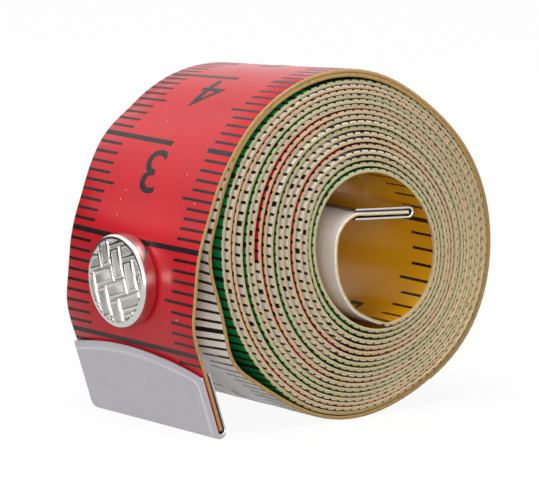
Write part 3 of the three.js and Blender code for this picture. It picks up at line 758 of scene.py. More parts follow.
CLOTH_STEP = 0.45 * MM
FINE_STEP = 0.25 * MM
FINE_UNTIL = 160 * MM      # the layer that the snap presses is as fine as the free end
SEAM = 0.15 * MM           # a narrow column beside the bare border keeps the shading of the face even
END_CORNER = 0.5 * MM
END_TAPER = 3 * MM
EDGE_FROM = 0.95           # share of the half width past which a point is on the edge
SWELL_SIDE = 0.6           # share of the swelling halfway down the edge
END_RING = 0.02 * MM       # a ring this close to a cut keeps the shading of both sides of it alike
SECTIONS = (0, 1, 2, 1)    # material slots of the outer face: red, white, green and white in turn
YELLOW, FIRST_WORN, FIBRE = 3, 4, 7
PRINTED, WORN = -1, -2     # faces whose slot depends on the section they are in


def columns(band, edge):
    """Places across a face: its middle, the edges of the band that the snap holds, its edges and halfway."""
    side = np.array([band, (band + edge) / 2, edge])
    return np.concatenate([-side[::-1], [0], side])


def ring_of(route):
    """The tape's section: places v and h, how far each drops and swells, and the kind of face after it."""
    tape = route.tape
    half, top = route.width / 2, tape.thickness / 2
    core, out = top - tape.coat, half + tape.edge_swell
    face = columns(tape.middle_band, half - tape.edge_slope)
    coated = half - tape.bare_border
    back = np.concatenate([[coated], columns(tape.middle_band, coated - SEAM)[::-1], [-coated]])

    def around(on_face, edge, on_back, other_edge):
        return np.concatenate([np.full(len(face), on_face), edge, np.full(len(back), on_back), other_edge])

    v = np.concatenate([face, [half, out, half], back, [-half, -out, -half]])
    h = around(top, [top, -core, -top], -top, [-top, -core, top])
    drop = around(0, [1, 0, 0], 0, [0, 0, 1])
    burr = around(0, [0, SWELL_SIDE, 1], 0, [1, SWELL_SIDE, 0])
    kinds = around(PRINTED, [FIBRE] * 3, YELLOW, [FIBRE] * 2 + [WORN])
    kinds[[len(face) - 1, -4]] = WORN, FIBRE
    return v, h, drop, burr, kinds


def rings_along(route, stretch, scale_offset):
    """Runs of the rings of a stretch: fine where the tape is pressed, with one at each change of colour."""
    start, stop = stretch.start, stretch.stop
    fine_stop = np.clip(FINE_UNTIL, start, stop) if stretch.bend is None else stop
    fine = np.linspace(start, fine_stop, int((fine_stop - start) / FINE_STEP) + 1)
    coarse = np.linspace(fine_stop, stop, int((stop - fine_stop) / CLOTH_STEP) + 1)
    seams = np.arange(0, route.length, route.tape.section) - scale_offset
    seams = seams[(seams > start) & (seams < stop)]
    return np.unique(np.concatenate([fine, coarse, seams, [start + END_RING, stop - END_RING]]))


def cloth_mesh(name, route, stretch, scale_offset):
    """A closed strip of coated cloth. Each ring runs over the face, down the edge, back and up again."""
    v, h, drop, burr, kinds = ring_of(route)
    s = rings_along(route, stretch, scale_offset)
    across, rings = len(v), len(s)
    # the tape's ends are cut back at their corners, inside the clips
    corner = END_CORNER * (np.abs(v) > EDGE_FROM * route.width / 2)
    ends = (np.clip(1 - run[:, None] / END_TAPER, 0, 1) for run in (s, route.length - s))
    inset = next(ends) - next(ends)
    level = h - route.along(s, route.burr)[:, None] * burr
    level = level - route.along(s, route.drop)[:, None] * drop
    points = route.at(s[:, None] + inset * corner, v[None, :], level).reshape(-1, 3)
    last = (rings - 1) * across
    caps = [list(range(across)), list(range(last + across - 1, last - 1, -1))]
    mesh = new_mesh(name, points, grid_faces(rings, across, around=True) + caps)
    section = np.floor((s[:-1] + scale_offset) / route.tape.section + 1e-6).astype(int) % len(SECTIONS)
    section = np.array(SECTIONS)[section][:, None]
    slots = np.where(kinds == PRINTED, section, np.where(kinds == WORN, section + FIRST_WORN, kinds))
    mesh.polygons.foreach_set("material_index", np.append(slots, [FIBRE, FIBRE]).astype(np.int32))
    # the tape laid flat, in millimetres along it and round its section
    girth = np.cumsum(np.hypot(np.diff(v, append=v[0]), np.diff(h, append=h[0])))
    girth = np.concatenate([[0], girth]) - route.width / 2
    flat = np.stack([np.repeat(s, across + 1), np.tile(girth, rings)], -1) / MM
    corners = flat[np.ravel(grid_faces(rings, across + 1))]
    corners = np.vstack([corners, flat[:across], flat[-across - 1:-1][::-1]])
    mesh.uv_layers.new(name="Tape").data.foreach_set("uv", corners.astype(np.float32).ravel())
    smooth(mesh, 45)
    return mesh


class TAPE_OT_cloth(bpy.types.Operator):
    """Add the cloth tape: free end, outer layer, coil and inner end"""

    bl_idname = "tape_measure.cloth"
    bl_label = "Cloth tape"

    def execute(self, context):
        scene = context.scene
        finish = scene.tape_finishes
        route = TapeRoute(scene)
        tones = ("red", "white", "green")
        coats = [material(tone + "_vinyl_coated_cloth", coated_cloth, getattr(finish, tone))
                 for tone in (*tones, "yellow")]
        for tone in tones:
            worn = getattr(finish, tone + "_edge")
            coats.append(material(f"worn_{tone}_coat", cut_fibre, worn, finish.rubbed_coat))
        coats.append(material("cut_cloth_fibre", cut_fibre, finish.cut_edge, finish.rubbed_edge))
        for stretch in stretches(route):
            name = stretch.name + "_cloth"
            mesh = cloth_mesh(name, route, stretch, scene.tape_print.scale_offset)
            piece = new_object(name, mesh, *coats)
            stretch.carry(piece)
            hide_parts(stretch.node)
        return {"FINISHED"}


# Print

def scale_tree():
    """Node tree of a scale on a flat tape: X runs along the tape, Y across it and Z out of its face."""
    tree = bpy.data.node_groups.new("printed_scale", "GeometryNodeTree")
    face = tree.interface
    face.new_socket("Geometry", in_out="OUTPUT", socket_type="NodeSocketGeometry")
    for kind, names in (
        ("Int", ("First", "Count", "Half Every", "Long Every", "Full Until")),
        ("Float", ("Origin", "Spacing", "Short", "Half", "Front Long", "Back Long", "Fine", "Bold")),
        ("Float", ("Width", "Level", "Ink")),
        ("Material", ("Material",)),
    ):
        for name in names:
            face.new_socket(name, in_out="INPUT", socket_type="NodeSocket" + kind)
    known = {socket.name: socket for socket in add(tree, "NodeGroupInput").outputs}
    known["index"] = add(tree, "GeometryNodeInputIndex")
    for name, operation, *terms in (
        ("number", "ADD", "index", "First"),
        ("past half", "FLOORED_MODULO", "number", "Half Every"),
        ("is half", "LESS_THAN", "past half", 0.5),
        ("past long", "FLOORED_MODULO", "number", "Long Every"),
        ("is long", "LESS_THAN", "past long", 0.5),
        ("after full", "ADD", "Full Until", 0.5),
        ("is full", "LESS_THAN", "number", "after full"),
        ("run", "MULTIPLY_ADD", "number", "Spacing", "Origin"),
        ("plain", "SWITCH", "is half", "Short", "Half"),
        ("rest", "SUBTRACT", "Width", "Front Long"),
        ("back long", "SWITCH", "is full", "Back Long", "rest"),
        ("thick", "SWITCH", "is long", "Fine", "Bold"),
        ("edge", "MULTIPLY", "Width", 0.5),
        ("front length", "SWITCH", "is long", "plain", "Front Long"),
        ("back length", "SWITCH", "is long", "plain", "back long"),
        ("back across", "MULTIPLY_ADD", "back length", -0.5, "edge"),
        ("front inset", "MULTIPLY_ADD", "front length", -0.5, "edge"),
        ("front across", "MULTIPLY", "front inset", -1),
    ):
        values = [known.get(term, term) for term in terms]
        if operation == "SWITCH":
            known[name] = add(tree, "GeometryNodeSwitch", dict(enumerate(values)), input_type="FLOAT")
        else:
            known[name] = maths(tree, operation, *values)
    box = add(tree, "GeometryNodeMeshCube", {"Size": (1, 1, 1), "Vertices Y": 3})
    joined = add(tree, "GeometryNodeJoinGeometry")
    for edge in ("front", "back"):
        spot, scale = (
            add(tree, "ShaderNodeCombineXYZ", {place: known[name] for place, name in enumerate(names)})
            for names in (("run", edge + " across", "Level"), ("thick", edge + " length", "Ink")))
        points = add(tree, "GeometryNodePoints", {"Count": known["Count"], "Position": spot})
        ticks = add(tree, "GeometryNodeInstanceOnPoints",
                    {"Points": points, "Instance": box, "Scale": scale})
        tree.links.new(ticks.outputs[0], joined.inputs[0])
    real = add(tree, "GeometryNodeRealizeInstances", {0: joined})
    inked = add(tree, "GeometryNodeSetMaterial", {"Geometry": real, "Material": known["Material"]})
    add(tree, "NodeGroupOutput", {0: inked})
    return tree


def flat_scale(name, tree, start, stop, last, values):
    """A scale's lines between two places on the flat tape, up to its last line, made by the node tree."""
    origin, spacing = values["Origin"], values["Spacing"]
    bounds = sorted(((start - origin) / spacing, (stop - origin) / spacing))
    first = max(math.ceil(bounds[0]), 1)
    count = max(min(math.ceil(bounds[1]) - 1, last) - first + 1, 0)
    values = {**values, "First": first, "Count": count}
    piece = new_object(name, bpy.data.meshes.new(name))
    modifier = piece.modifiers.new("Scale", "NODES")
    modifier.node_group = tree
    for socket in tree.interface.items_tree:
        if socket.in_out == "INPUT":
            modifier[socket.identifier] = values[socket.name]
    return applied(piece)


UNPRINTED_EDGE = 210 * MM   # the print is rubbed off the edges of the two outer layers


def on_tape(route, *meshes):
    """Lays flat meshes on the tape and joins them: X along it, Y across it, Z out of its printed side."""
    bm = bmesh.new()
    for mesh in meshes:
        bm.from_mesh(mesh)
    tape = route.tape
    flat_half = route.width / 2 - tape.edge_slope
    # cut where the tape's section turns, and more often where the snap twists it
    sides = np.linspace(tape.middle_band, flat_half, 5)
    for fold in (*-sides, *sides):
        until = route.length + INCH if abs(fold) in (sides[0], sides[-1]) else FINE_UNTIL
        near = [v for v in bm.verts if v.co.x < until]
        near += [e for e in (*bm.edges, *bm.faces) if e.verts[0].co.x < until]
        bmesh.ops.bisect_plane(bm, geom=near, dist=TOUCHING, plane_co=(0, fold, 0), plane_no=(0, 1, 0))
    s, v, h = np.array([vert.co for vert in bm.verts]).T
    v = np.where(s < UNPRINTED_EDGE, np.clip(v, -flat_half, flat_half), v)
    past = np.maximum(np.abs(v) - flat_half, 0) / tape.edge_slope
    laid = route.at(s, v, np.where(h > 0, h - route.along(s, route.drop) * past, h))
    for vert, spot in zip(bm.verts, laid):
        vert.co = spot
    joined = bpy.data.meshes.new("laid")
    bmesh.ops.recalc_face_normals(bm, faces=bm.faces)
    bm.to_mesh(joined)
    bm.free()
    return joined


def add_print(route, stretch, kind, meshes):
    """Adds flat printed meshes on a stretch of the tape as one piece."""
    piece = new_object(f"{stretch.name}_{kind}", on_tape(route, *meshes), ink_material())
    stretch.carry(piece)


INCHES = 60
LAST_MILLIMETRE = 1500
LAST_SIXTEENTH = INCHES * 16 - 1
UNDER_CLIP = 0.4 * MM       # how far the print goes on under the zero clip


class TAPE_OT_scales(bpy.types.Operator):
    """Add the printed scales: millimetres outside and sixteenths of an inch inside"""

    bl_idname = "tape_measure.scales"
    bl_label = "Printed scales"

    def execute(self, context):
        scene = context.scene
        sizes = scene.tape_print
        route = TapeRoute(scene)
        tree = scale_tree()
        level = route.tape.thickness / 2 + sizes.ink / 3
        shared = {"Fine": sizes.fine_line, "Bold": sizes.bold_line, "Ink": sizes.ink,
                  "Material": ink_material()}
        outer = {
            **shared, "Half Every": 5, "Long Every": 10, "Full Until": sizes.full_until,
            "Origin": -sizes.scale_offset, "Spacing": MM, "Width": route.width, "Level": level,
            "Short": sizes.short_tick, "Half": sizes.half_tick,
            "Front Long": sizes.front_tick, "Back Long": sizes.back_tick,
        }
        inner = {
            **shared, "Half Every": 4, "Long Every": 8, "Full Until": 0,
            "Origin": route.length + sizes.scale_offset, "Spacing": -INCH / 16,
            "Width": route.width - 2 * route.tape.bare_border, "Level": -level,
            "Short": sizes.inch_short_tick, "Half": sizes.inch_half_tick,
            "Front Long": sizes.inch_long_tick, "Back Long": sizes.inch_long_tick,
        }
        clip = scene.clip_sizes.side
        for stretch in stretches(route):
            ends = max(stretch.start, clip - UNDER_CLIP), min(stretch.stop, route.length - clip)
            flats = [flat_scale("millimetres", tree, *ends, LAST_MILLIMETRE, outer),
                     flat_scale("sixteenths", tree, *ends, LAST_SIXTEENTH, inner)]
            add_print(route, stretch, "scale", [flat.data for flat in flats])
            for flat in flats:
                bpy.data.objects.remove(flat)
        return {"FINISHED"}


CUT_EVERY = 0.5 * MM        # a number is cut across this often, so that it can follow the roll


def number_mesh(text, sizes, side, spot):
    """A number at spot on the flat tape: it reads across the tape outside (1) and along it inside (-1)."""
    words = bpy.data.curves.new("number", "FONT")
    words.body = text
    words.align_x = "CENTER"
    words.size = 1
    words.extrude = 0.5
    words.resolution_u = 4
    piece = applied(new_object("number", words))
    bm = bmesh.new()
    bm.from_mesh(piece.data)
    bpy.data.objects.remove(piece)
    bmesh.ops.remove_doubles(bm, verts=bm.verts, dist=1e-5)
    foot = min(v.co.y for v in bm.verts)
    height = max(v.co.y for v in bm.verts) - foot
    scale = (sizes.digit_height if side > 0 else sizes.inch_digit_height) / height
    s, v, h = spot
    for vert in bm.verts:
        x, y, z = vert.co
        right, up = x * scale * sizes.digit_stretch, (y - foot) * scale
        along, across = (-up, right) if side > 0 else (right, -up)
        vert.co = (s + along, v + across, h + side * z * sizes.ink)
    low = min(vert.co.x for vert in bm.verts)
    high = max(vert.co.x for vert in bm.verts)
    for i in range(1, int((high - low) / CUT_EVERY) + 1):
        everything = bm.verts[:] + bm.edges[:] + bm.faces[:]
        bmesh.ops.bisect_plane(bm, geom=everything, plane_co=(low + i * CUT_EVERY, 0, 0), plane_no=(1, 0, 0))
    mesh = bpy.data.meshes.new("number")
    bm.to_mesh(mesh)
    bm.free()
    return mesh


CENTIMETRE_NUMBERS = range(3, 17)           # those on the free end and the outer layer
INCH_NUMBERS = (1, 2, 3, 57, 58, 59)        # those on the inner end and the free end, from the inner end


class TAPE_OT_numbers(bpy.types.Operator):
    """Add the printed numbers of both scales"""

    bl_idname = "tape_measure.numbers"
    bl_label = "Printed numbers"

    def execute(self, context):
        scene = context.scene
        sizes = scene.tape_print
        route = TapeRoute(scene)
        level = route.tape.thickness / 2 + sizes.ink / 3
        numbers = []
        for n in CENTIMETRE_NUMBERS:
            foot = n * 10 * MM - sizes.scale_offset - sizes.digit_gap
            numbers.append((str(n), 1, (foot, sizes.digit_across, level), foot - sizes.digit_height / 2))
        for n in INCH_NUMBERS:
            line = route.length + sizes.scale_offset - n * INCH
            numbers.append((str(INCHES - n), -1, (line, sizes.inch_digit_across, -level), line))
        for stretch in stretches(route):
            meshes = [number_mesh(text, sizes, side, spot) for text, side, spot, middle in numbers
                      if stretch.start < middle < stretch.stop]
            if meshes:
                add_print(route, stretch, "numbers", meshes)
        return {"FINISHED"}


# End clips

PANEL_RAMP = 0.1 * MM       # half the width of the slope round the raised panel
PANEL_FOOT = 0.3 * MM       # how much nearer the panel comes to the fold than to the other edges
# strength and reach of a painted highlight: a whiter line on the panel's edge, standing in for light caught
# by its step
PAINTED_HIGHLIGHT = 0.45
HIGHLIGHT_REACH = 0.11 * MM
CLIP_BEVEL = 0.07 * MM


def clip_mesh(name, clip, width, side, arch, skew, panel):
    """A folded sheet with an arched edge. X runs from the fold along it, Y across, Z out of the tape."""
    half = width / 2
    gap = CAD_THICKNESS / 2 + clip.clearance
    bend = gap + clip.sheet / 2
    v = np.linspace(-half, half, 97)[:, None]
    arch_radius = (half ** 2 + arch ** 2) / (2 * arch)
    top = side + arch - arch_radius + np.sqrt(arch_radius ** 2 - v ** 2) + skew * v / half
    past = np.maximum(np.abs(v) - (half - clip.corner), 0)
    fold = gap + clip.sheet + clip.corner - np.sqrt(clip.corner ** 2 - past ** 2)
    leaf = top + (fold - top) * np.linspace(0, 1, 44)
    turn = np.linspace(0, np.pi, 15)[1:-1]
    inset = np.minimum(np.minimum(top - leaf, half - np.abs(v)), leaf - fold + PANEL_FOOT)
    raised = panel * ease(inset, clip.border - PANEL_RAMP, clip.border + PANEL_RAMP)
    a = np.hstack([leaf, fold - bend * np.sin(turn), leaf[:, ::-1]])
    h = np.hstack([bend + raised, np.tile(bend * np.cos(turn), (len(v), 1)), np.full_like(leaf, -bend)])
    points = np.stack([a, np.broadcast_to(v, a.shape), h], -1).reshape(-1, 3)
    mesh = new_mesh(name, points, [(i, m, k, j) for i, j, k, m in grid_faces(*a.shape)])
    if panel:
        # a painted highlight, a whiter line standing in for light caught by the panel's step, runs along its
        # upper and front edges, round the corner between them
        highlight = np.zeros(a.shape)
        sides = np.maximum([top - leaf, np.broadcast_to(half + v, leaf.shape)], 0.01 * MM)
        line = (sides ** -4.0).sum(0) ** -0.25
        highlight[:, :leaf.shape[1]] = PAINTED_HIGHLIGHT * bell(line, clip.border, HIGHLIGHT_REACH)
        values = mesh.attributes.new("Painted_Highlight", "FLOAT", "POINT").data
        values.foreach_set("value", highlight.astype(np.float32).ravel())
    piece = new_object(name, mesh)
    wall = piece.modifiers.new("Wall", "SOLIDIFY")
    wall.thickness = clip.sheet
    wall.offset = 0
    wall.use_even_offset = True
    bevel(piece, CLIP_BEVEL, 50)
    return applied(piece)


class TAPE_OT_clips(bpy.types.Operator):
    """Add the metal clips folded over both ends of the tape"""

    bl_idname = "tape_measure.clips"
    bl_label = "End clips"

    def execute(self, context):
        clip = context.scene.clip_sizes
        route = TapeRoute(context.scene)
        for name, node, s, inwards, body, plate, shape in (
            ("zero_clip", "zero_end_clip", 0.0, 1, "free_end", "satin_plated_steel",
             (clip.side, clip.arch, clip.skew, clip.panel)),
            ("inner_clip", "inner_end_clip", route.length, -1, "inner_end", "bright_plated_steel",
             (clip.inner_side, clip.inner_arch, 0.0, 0.0)),
        ):
            piece = clip_mesh(name, clip, route.width, *shape)
            middle = s + inwards * clip.side / 2
            along, out = route.course(middle)
            end = route.at(middle) - along * (middle - s)
            start = end - along * inwards * (clip.sheet + clip.fold_space)
            flat = np.array([v.co for v in piece.data.vertices])
            axes = np.array([along * inwards, (0, 1, 0), out])
            move_points(piece.data, start + flat @ axes)
            outward(piece.data)
            smooth(piece.data, 40)
            mount(piece, metal(plate), body, node)
        return {"FINISHED"}


# Snap fastener

def turned_mesh(name, profile, segments, axis):
    """A piece turned about a line along X. The profile holds pairs of radius and x, and closes on itself."""
    angles = np.linspace(0, 2 * np.pi, segments, endpoint=False)
    radius, x = np.array(profile).T[:, :, None]
    y, z = axis[0] + radius * np.cos(angles), axis[1] + radius * np.sin(angles)
    points = np.stack([np.broadcast_to(x, y.shape), y, z], -1).reshape(-1, 3)
    mesh = new_mesh(name, points, grid_faces(*y.shape, around=True))
    outward(mesh)
    return mesh


# small sizes of the cap's foot and of the hidden pieces
CAP_CURL, HIDDEN_EDGE = 0.25 * MM, 0.05 * MM
POST_FLANGE, POST_LIP, POST_END = 0.4 * MM, 0.5 * MM, 0.25 * MM
SOCKET_BASE, SOCKET_LIP, SOCKET_CURL, WIRE_ROOM = 0.4 * MM, 0.16 * MM, 0.3 * MM, 0.1 * MM
STUD_WALL, STUD_FLANGE, STUD_TOP = 0.32 * MM, 0.45 * MM, 0.3 * MM
STUD_CURL, STUD_CROWN, STUD_ROUND = 0.15 * MM, 0.18 * MM, 0.5 * MM
PIN_ROOM, PAD_RADIUS, PAD = 0.12 * MM, 2.9 * MM, 0.3 * MM

# where a strip of the weave slopes down at its sides and ends, and where its field does, in strips
STRIP_SIDE, STRIP_END = (0.43, 0.49), (0.9, 0.98)
FIELD_SIDE, FIELD_END = (0.22, 0.29), (0.7, 0.8)
STRIP_BOW = 0.4             # share of the relief that a strip has lost at its ends
WEAVE_FADE = (0.45 * MM, 0.05 * MM)     # distances from the rim over which the weave runs out
FACE_DEPTH = 0.01 * MM      # points this near to the cap's front are on its face


def weave_height(y, z, snap):
    """Height of a pressed basket weave over its ground: strips with a border and a stippled field."""
    cos, sin = math.cos(snap.weave_angle), math.sin(snap.weave_angle)
    across = (z * sin - y * cos) / snap.strip
    along = (z * cos + y * sin) / snap.strip
    column, row = np.floor(across), np.floor(along)
    upright = (column + row) % 4 < 2
    # distance from the strip's middle line, and from the middle of its visible length, in strips
    side = np.abs(np.where(upright, across - column, along - row) - 0.5)
    first = np.where(upright, (-column) % 4, (2 - row) % 4)
    run = np.abs(np.where(upright, along - first, across - first) % 4 - 1)
    strip = (1 - ease(side, *STRIP_SIDE)) * (1 - ease(run, *STRIP_END)) * (1 - STRIP_BOW * run ** 2)
    field = (1 - ease(side, *FIELD_SIDE)) * (1 - ease(run, *FIELD_END))
    dot = 2 * np.pi * snap.strip / snap.stipple_pitch
    dots = np.sin(dot * across) * np.sin(dot * along)
    return snap.relief * strip + field * (snap.stipple * dots - snap.recess)


def snap_axis(node):
    """The y and the z of the line about which a snap piece is turned."""
    low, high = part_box(node)
    return (low.y + high.y) / 2, (low.z + high.z) / 2


class TAPE_OT_snap_cap(bpy.types.Operator):
    """Add the snap's cap with its pressed weave and polished rim"""

    bl_idname = "tape_measure.snap_cap"
    bl_label = "Snap cap"

    def execute(self, context):
        snap = context.scene.snap_sizes
        axis = snap_axis("snap_cap")
        radius, curl, foot = snap.cap_radius, CAP_CURL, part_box("snap_cap")[1].x
        face = foot - snap.cap_height
        flat, inside, ceiling = radius - snap.rim, radius - snap.cap_wall, face + snap.cap_wall + snap.relief
        profile = [(r, face) for r in np.linspace(0, flat, 84)]
        profile += [(flat + snap.rim * math.sin(a), face + snap.rim * (1 - math.cos(a)))
                    for a in np.linspace(0, math.pi / 2, 12)[1:]]
        profile += [(radius, foot - curl), (radius - 0.28 * curl, foot - 0.32 * curl), (radius - curl, foot),
                    (inside, foot), (inside, ceiling), (0, ceiling)]
        mesh = turned_mesh("snap_cap_plate", profile, 400, axis)
        points = np.array([v.co for v in mesh.vertices])
        y, z = points[:, 1] - axis[0], points[:, 2] - axis[1]
        out = np.hypot(y, z)
        on_face = (points[:, 0] < face + FACE_DEPTH) & (out < flat + 1e-6)
        shown = 1 - ease(out, *(flat - fade for fade in WEAVE_FADE))
        pressed = (weave_height(y, z, snap) - snap.relief) * shown
        points[:, 0] -= np.where(on_face, pressed + snap.dome * (1 - (out / flat) ** 2), 0)
        move_points(mesh, points)
        smooth(mesh, 50)
        piece = new_object("snap_cap_plate", mesh)
        mount(piece, metal("bright_nickel_plate"), "free_end", "snap_cap")
        return {"FINISHED"}


class TAPE_OT_snap_works(bpy.types.Operator):
    """Add the snap's rivets, socket, spring and stud"""

    bl_idname = "tape_measure.snap_works"
    bl_label = "Snap works"

    def execute(self, context):
        snap = context.scene.snap_sizes
        axis = snap_axis("snap_cap_post")
        for name, body, node, profile in (
            ("cap_rivet", "free_end", "snap_cap_post", self.cap_rivet),
            ("socket_cup", "free_end", "snap_socket", self.socket_cup),
            ("stud_button", "roll", "snap_stud", self.stud_button),
            ("stud_rivet", "roll", "snap_stud_post", self.stud_rivet),
        ):
            low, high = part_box(node)
            piece = new_object(name, turned_mesh(name, profile(snap, low.x, high.x), 96, axis))
            bevel(piece, HIDDEN_EDGE, 40)
            piece = applied(piece)
            smooth(piece.data, 35)
            mount(piece, metal("bright_nickel_plate"), body, node)
        self.spring(snap, axis)
        return {"FINISHED"}

    # Profiles of the turned pieces, as pairs of radius and x, from the CAD node's two ends

    def cap_rivet(self, snap, tip, head):
        low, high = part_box("snap_cap_post")
        flange, post = (high.z - low.z) / 2, snap.post_radius
        lip, under, over = post + POST_LIP, tip + POST_FLANGE, head - POST_END
        return [(0, tip), (flange, tip), (flange, under), (post, under),
                (post, over), (lip, over), (lip, head), (0, head)]

    def socket_cup(self, snap, base, front):
        out, mouth, groove, curl = snap.socket_radius, snap.mouth_radius, snap.groove_radius, SOCKET_CURL
        hole, plate, lip = snap.post_radius + SEAT, base + SOCKET_BASE, front - SOCKET_LIP
        behind = lip - 2 * snap.wire_radius - WIRE_ROOM
        return [
            (hole, base), (out, base), (out, front - curl), (out - curl / 3, front - curl / 3),
            (out - curl, front), (mouth, front), (mouth, lip), (groove, lip), (groove, behind),
            (mouth, behind), (mouth, plate), (hole, plate), (hole, base)]

    def stud_button(self, snap, top, seat):
        out, neck, knob, curl = snap.stud_radius, snap.neck_radius, snap.head_radius, STUD_CURL
        bore, collar, crown, inside = neck - STUD_WALL, seat - STUD_FLANGE, STUD_CROWN, top + STUD_TOP
        return [
            (bore, seat), (out, seat), (out, collar + curl), (out - curl, collar), (neck + curl, collar),
            (neck, collar - 2 * curl / 3), (neck, top + 2 * crown), (knob, top + crown),
            (knob - crown / 3, top + crown / 2), (knob - 0.4 * STUD_ROUND, top + crown / 6),
            (knob - STUD_ROUND, top), (0, top), (0, inside), (bore, inside), (bore, seat)]

    def stud_rivet(self, snap, end, back):
        pin, under = snap.neck_radius - STUD_WALL - PIN_ROOM, back - PAD
        return [(0, end), (pin, end), (pin, under),
                (PAD_RADIUS, under), (PAD_RADIUS - PAD / 3, back), (0, back)]

    def spring(self, snap, axis):
        """Adds the spring: a hairpin of wire with its bow at the back."""
        low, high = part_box("snap_socket_spring")
        x = (low.x + high.x) / 2
        bow = high.y - snap.wire_radius - snap.spring_space
        half, arm = snap.spring_space, axis[0] - snap.spring_arm
        route = [(bow + half * math.cos(turn), axis[1] + half * math.sin(turn))
                 for turn in np.linspace(-math.pi / 2, math.pi / 2, 25)]
        route = [(arm, axis[1] - half), *route, (arm, axis[1] + half)]
        curve = bpy.data.curves.new("spring_hairpin", "CURVE")
        curve.dimensions = "3D"
        curve.bevel_depth = snap.wire_radius
        curve.bevel_resolution = 4
        curve.use_fill_caps = True
        line = curve.splines.new("POLY")
        line.points.add(len(route) - 1)
        for point, spot in zip(line.points, route):
            point.co = (x, *spot, 1)
        piece = applied(new_object("spring_hairpin", curve))
        outward(piece.data)
        smooth(piece.data, 50)
        mount(piece, metal("drawn_spring_wire"), "free_end", "snap_socket_spring")


# Stage

LAMPS = (       # name, place, width and height in metres, and power in watts
    ("back_softbox", (-0.34, 0.48, 0.54), 0.9, 0.5, 0.8),
    ("overhead_softbox", (-0.1, -0.1, 0.9), 0.6, 0.6, 6.0),
    ("camera_fill", (-0.49, -0.62, 0.13), 0.5, 0.25, 3.4),
    ("left_fill", (-0.8, -0.1, 0.25), 0.5, 0.5, 0.7),
)
AMBIENT = 0.3               # light of the white surround on the object
FLOOR_GLOW = 0.93           # share of plain white in the floor that the camera sees
MIRRORED_GLOW = 0.74        # the same in the floor that the metal and the gloss see
CARD_MIDDLE = (-22 * MM, 0)
CARD_AWAY = (-0.626, 0.78)  # direction from the tape's left end to the card
CARD_DISTANCE = 68 * MM
CARD_HALF = 90 * MM
CARD_HEIGHTS = (7 * MM, 38 * MM)


def backdrop_light(tree):
    """1 for rays that should see the plain white background, 0 for rays that light the object."""
    path = add(tree, "ShaderNodeLightPath").outputs
    seen = path["Is Camera Ray"]
    for ray in ("Is Glossy Ray", "Is Transmission Ray"):
        seen = maths(tree, "MAXIMUM", seen, path[ray])
    return seen


def white_paper(tree, tone):
    """White paper that keeps the tape's shadow, and throws less light back than a white floor would."""
    seen = add(tree, "ShaderNodeLightPath").outputs["Is Camera Ray"]
    paper = add(tree, "ShaderNodeBsdfDiffuse", {"Color": mix(tree, seen, linear("#807E7C"), tuple(tone))})
    glow = add(tree, "ShaderNodeEmission", {"Color": (1, 1, 1, 1), "Strength": 1.0})
    mirrored = maths(tree, "MULTIPLY", backdrop_light(tree), MIRRORED_GLOW)
    keep = add(tree, "ShaderNodeMix", {0: seen, 2: mirrored, 3: FLOOR_GLOW})
    return add(tree, "ShaderNodeMixShader", {0: keep, 1: paper, 2: glow})


def dark_paper(tree):
    """Dark card: matt, and dark enough to show as a band in the metal."""
    return add(tree, "ShaderNodeBsdfDiffuse", {"Color": linear("#6A6663")})


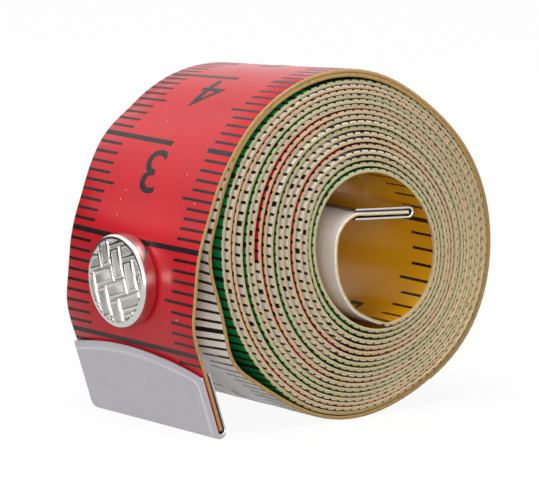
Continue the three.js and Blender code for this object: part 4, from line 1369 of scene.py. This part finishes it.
class TAPE_OT_stage(bpy.types.Operator):
    """Add the floor, the studio light and the camera"""

    bl_idname = "tape_measure.stage"
    bl_label = "Stage"

    def execute(self, context):
        scene = context.scene
        stage = scene.tape_stage
        scene.view_settings.view_transform = "Standard"
        reach = stage.floor
        corners = [(-reach, -reach, 0), (reach, -reach, 0), (reach, reach, 0), (-reach, reach, 0)]
        self.sheet("floor", corners, material("white_paper", white_paper, scene.tape_finishes.floor))
        self.world(scene)
        for name, spot, *light in LAMPS:
            self.lamp(name, Vector(spot), Vector(stage.target), *light)
        self.dark_card()
        self.camera(scene, stage)
        return {"FINISHED"}

    def sheet(self, name, corners, paper):
        piece = new_object(name, new_mesh(name, corners, [(0, 1, 2, 3)]), paper)
        return piece

    def lamp(self, name, spot, aim, width, height, watts):
        data = bpy.data.lights.new(name, "AREA")
        data.shape = "RECTANGLE"
        data.size = width
        data.size_y = height
        data.energy = watts
        light = new_object(name, data)
        light.location = spot
        light.rotation_euler = (aim - spot).to_track_quat("-Z", "Y").to_euler()
        light.visible_camera = False

    def dark_card(self):
        """A dark card behind the left of the tape, which only the metal and the gloss see."""
        away = np.array(CARD_AWAY)
        foot = np.array(CARD_MIDDLE) + away * CARD_DISTANCE
        side = np.array([away[1], -away[0]]) * CARD_HALF
        left, right = foot - side, foot + side
        low, top = CARD_HEIGHTS
        corners = [(*left, low), (*right, low), (*right, top), (*left, top)]
        card = self.sheet("dark_card", corners, material("black_card", dark_paper))
        card.visible_camera = False
        card.visible_diffuse = False
        card.visible_shadow = False

    def world(self, scene):
        scene.world = scene.world or bpy.data.worlds.new("studio")
        scene.world.use_nodes = True
        tree = scene.world.node_tree
        tree.nodes.clear()
        strength = add(tree, "ShaderNodeMapRange", {0: backdrop_light(tree), 3: AMBIENT, 4: 1.0})
        glow = add(tree, "ShaderNodeBackground", {"Color": (1, 1, 1, 1), "Strength": strength})
        add(tree, "ShaderNodeOutputWorld", {"Surface": glow})

    def camera(self, scene, stage):
        data = bpy.data.cameras.new("photo_camera")
        data.lens = stage.focal
        data.clip_start = 0.01
        data.clip_end = 50
        camera = new_object("photo_camera", data)
        flat, round_it = math.cos(stage.elevation), stage.azimuth
        way = Vector((math.sin(round_it) * flat, -math.cos(round_it) * flat, math.sin(stage.elevation)))
        camera.location = Vector(stage.target) + way * stage.distance
        camera.rotation_euler = way.to_track_quat("Z", "Y").to_euler()
        scene.camera = camera


# Panel and registration

OPERATORS = (TAPE_OT_stage, TAPE_OT_cloth, TAPE_OT_scales, TAPE_OT_numbers, TAPE_OT_clips,
             TAPE_OT_snap_cap, TAPE_OT_snap_works)
GROUPS = {
    "tape_sizes": TapeSizes,
    "tape_print": PrintSizes,
    "clip_sizes": ClipSizes,
    "snap_sizes": SnapSizes,
    "tape_finishes": Finishes,
    "tape_stage": StageSizes,
}


class TAPE_PT_panel(bpy.types.Panel):
    """Lists the pieces of the tape measure"""

    bl_idname = "TAPE_PT_panel"
    bl_label = "Tape Measure"
    bl_space_type = "VIEW_3D"
    bl_region_type = "UI"
    bl_category = "Tape Measure"

    def draw(self, context):
        for operator in OPERATORS:
            self.layout.operator(operator.bl_idname)


def register():
    for group in GROUPS.values():
        bpy.utils.register_class(group)
    for name, group in GROUPS.items():
        setattr(bpy.types.Scene, name, bpy.props.PointerProperty(type=group))
    for operator in OPERATORS:
        bpy.utils.register_class(operator)
    bpy.utils.register_class(TAPE_PT_panel)


def unregister():
    bpy.utils.unregister_class(TAPE_PT_panel)
    for operator in reversed(OPERATORS):
        bpy.utils.unregister_class(operator)
    for name, group in reversed(GROUPS.items()):
        delattr(bpy.types.Scene, name)
        bpy.utils.unregister_class(group)


def main():
    register()
    bpy.ops.tape_measure.stage()
    bpy.ops.tape_measure.cloth()
    bpy.ops.tape_measure.scales()
    bpy.ops.tape_measure.numbers()
    bpy.ops.tape_measure.clips()
    bpy.ops.tape_measure.snap_cap()
    bpy.ops.tape_measure.snap_works()


if __name__ == "__main__":
    main()
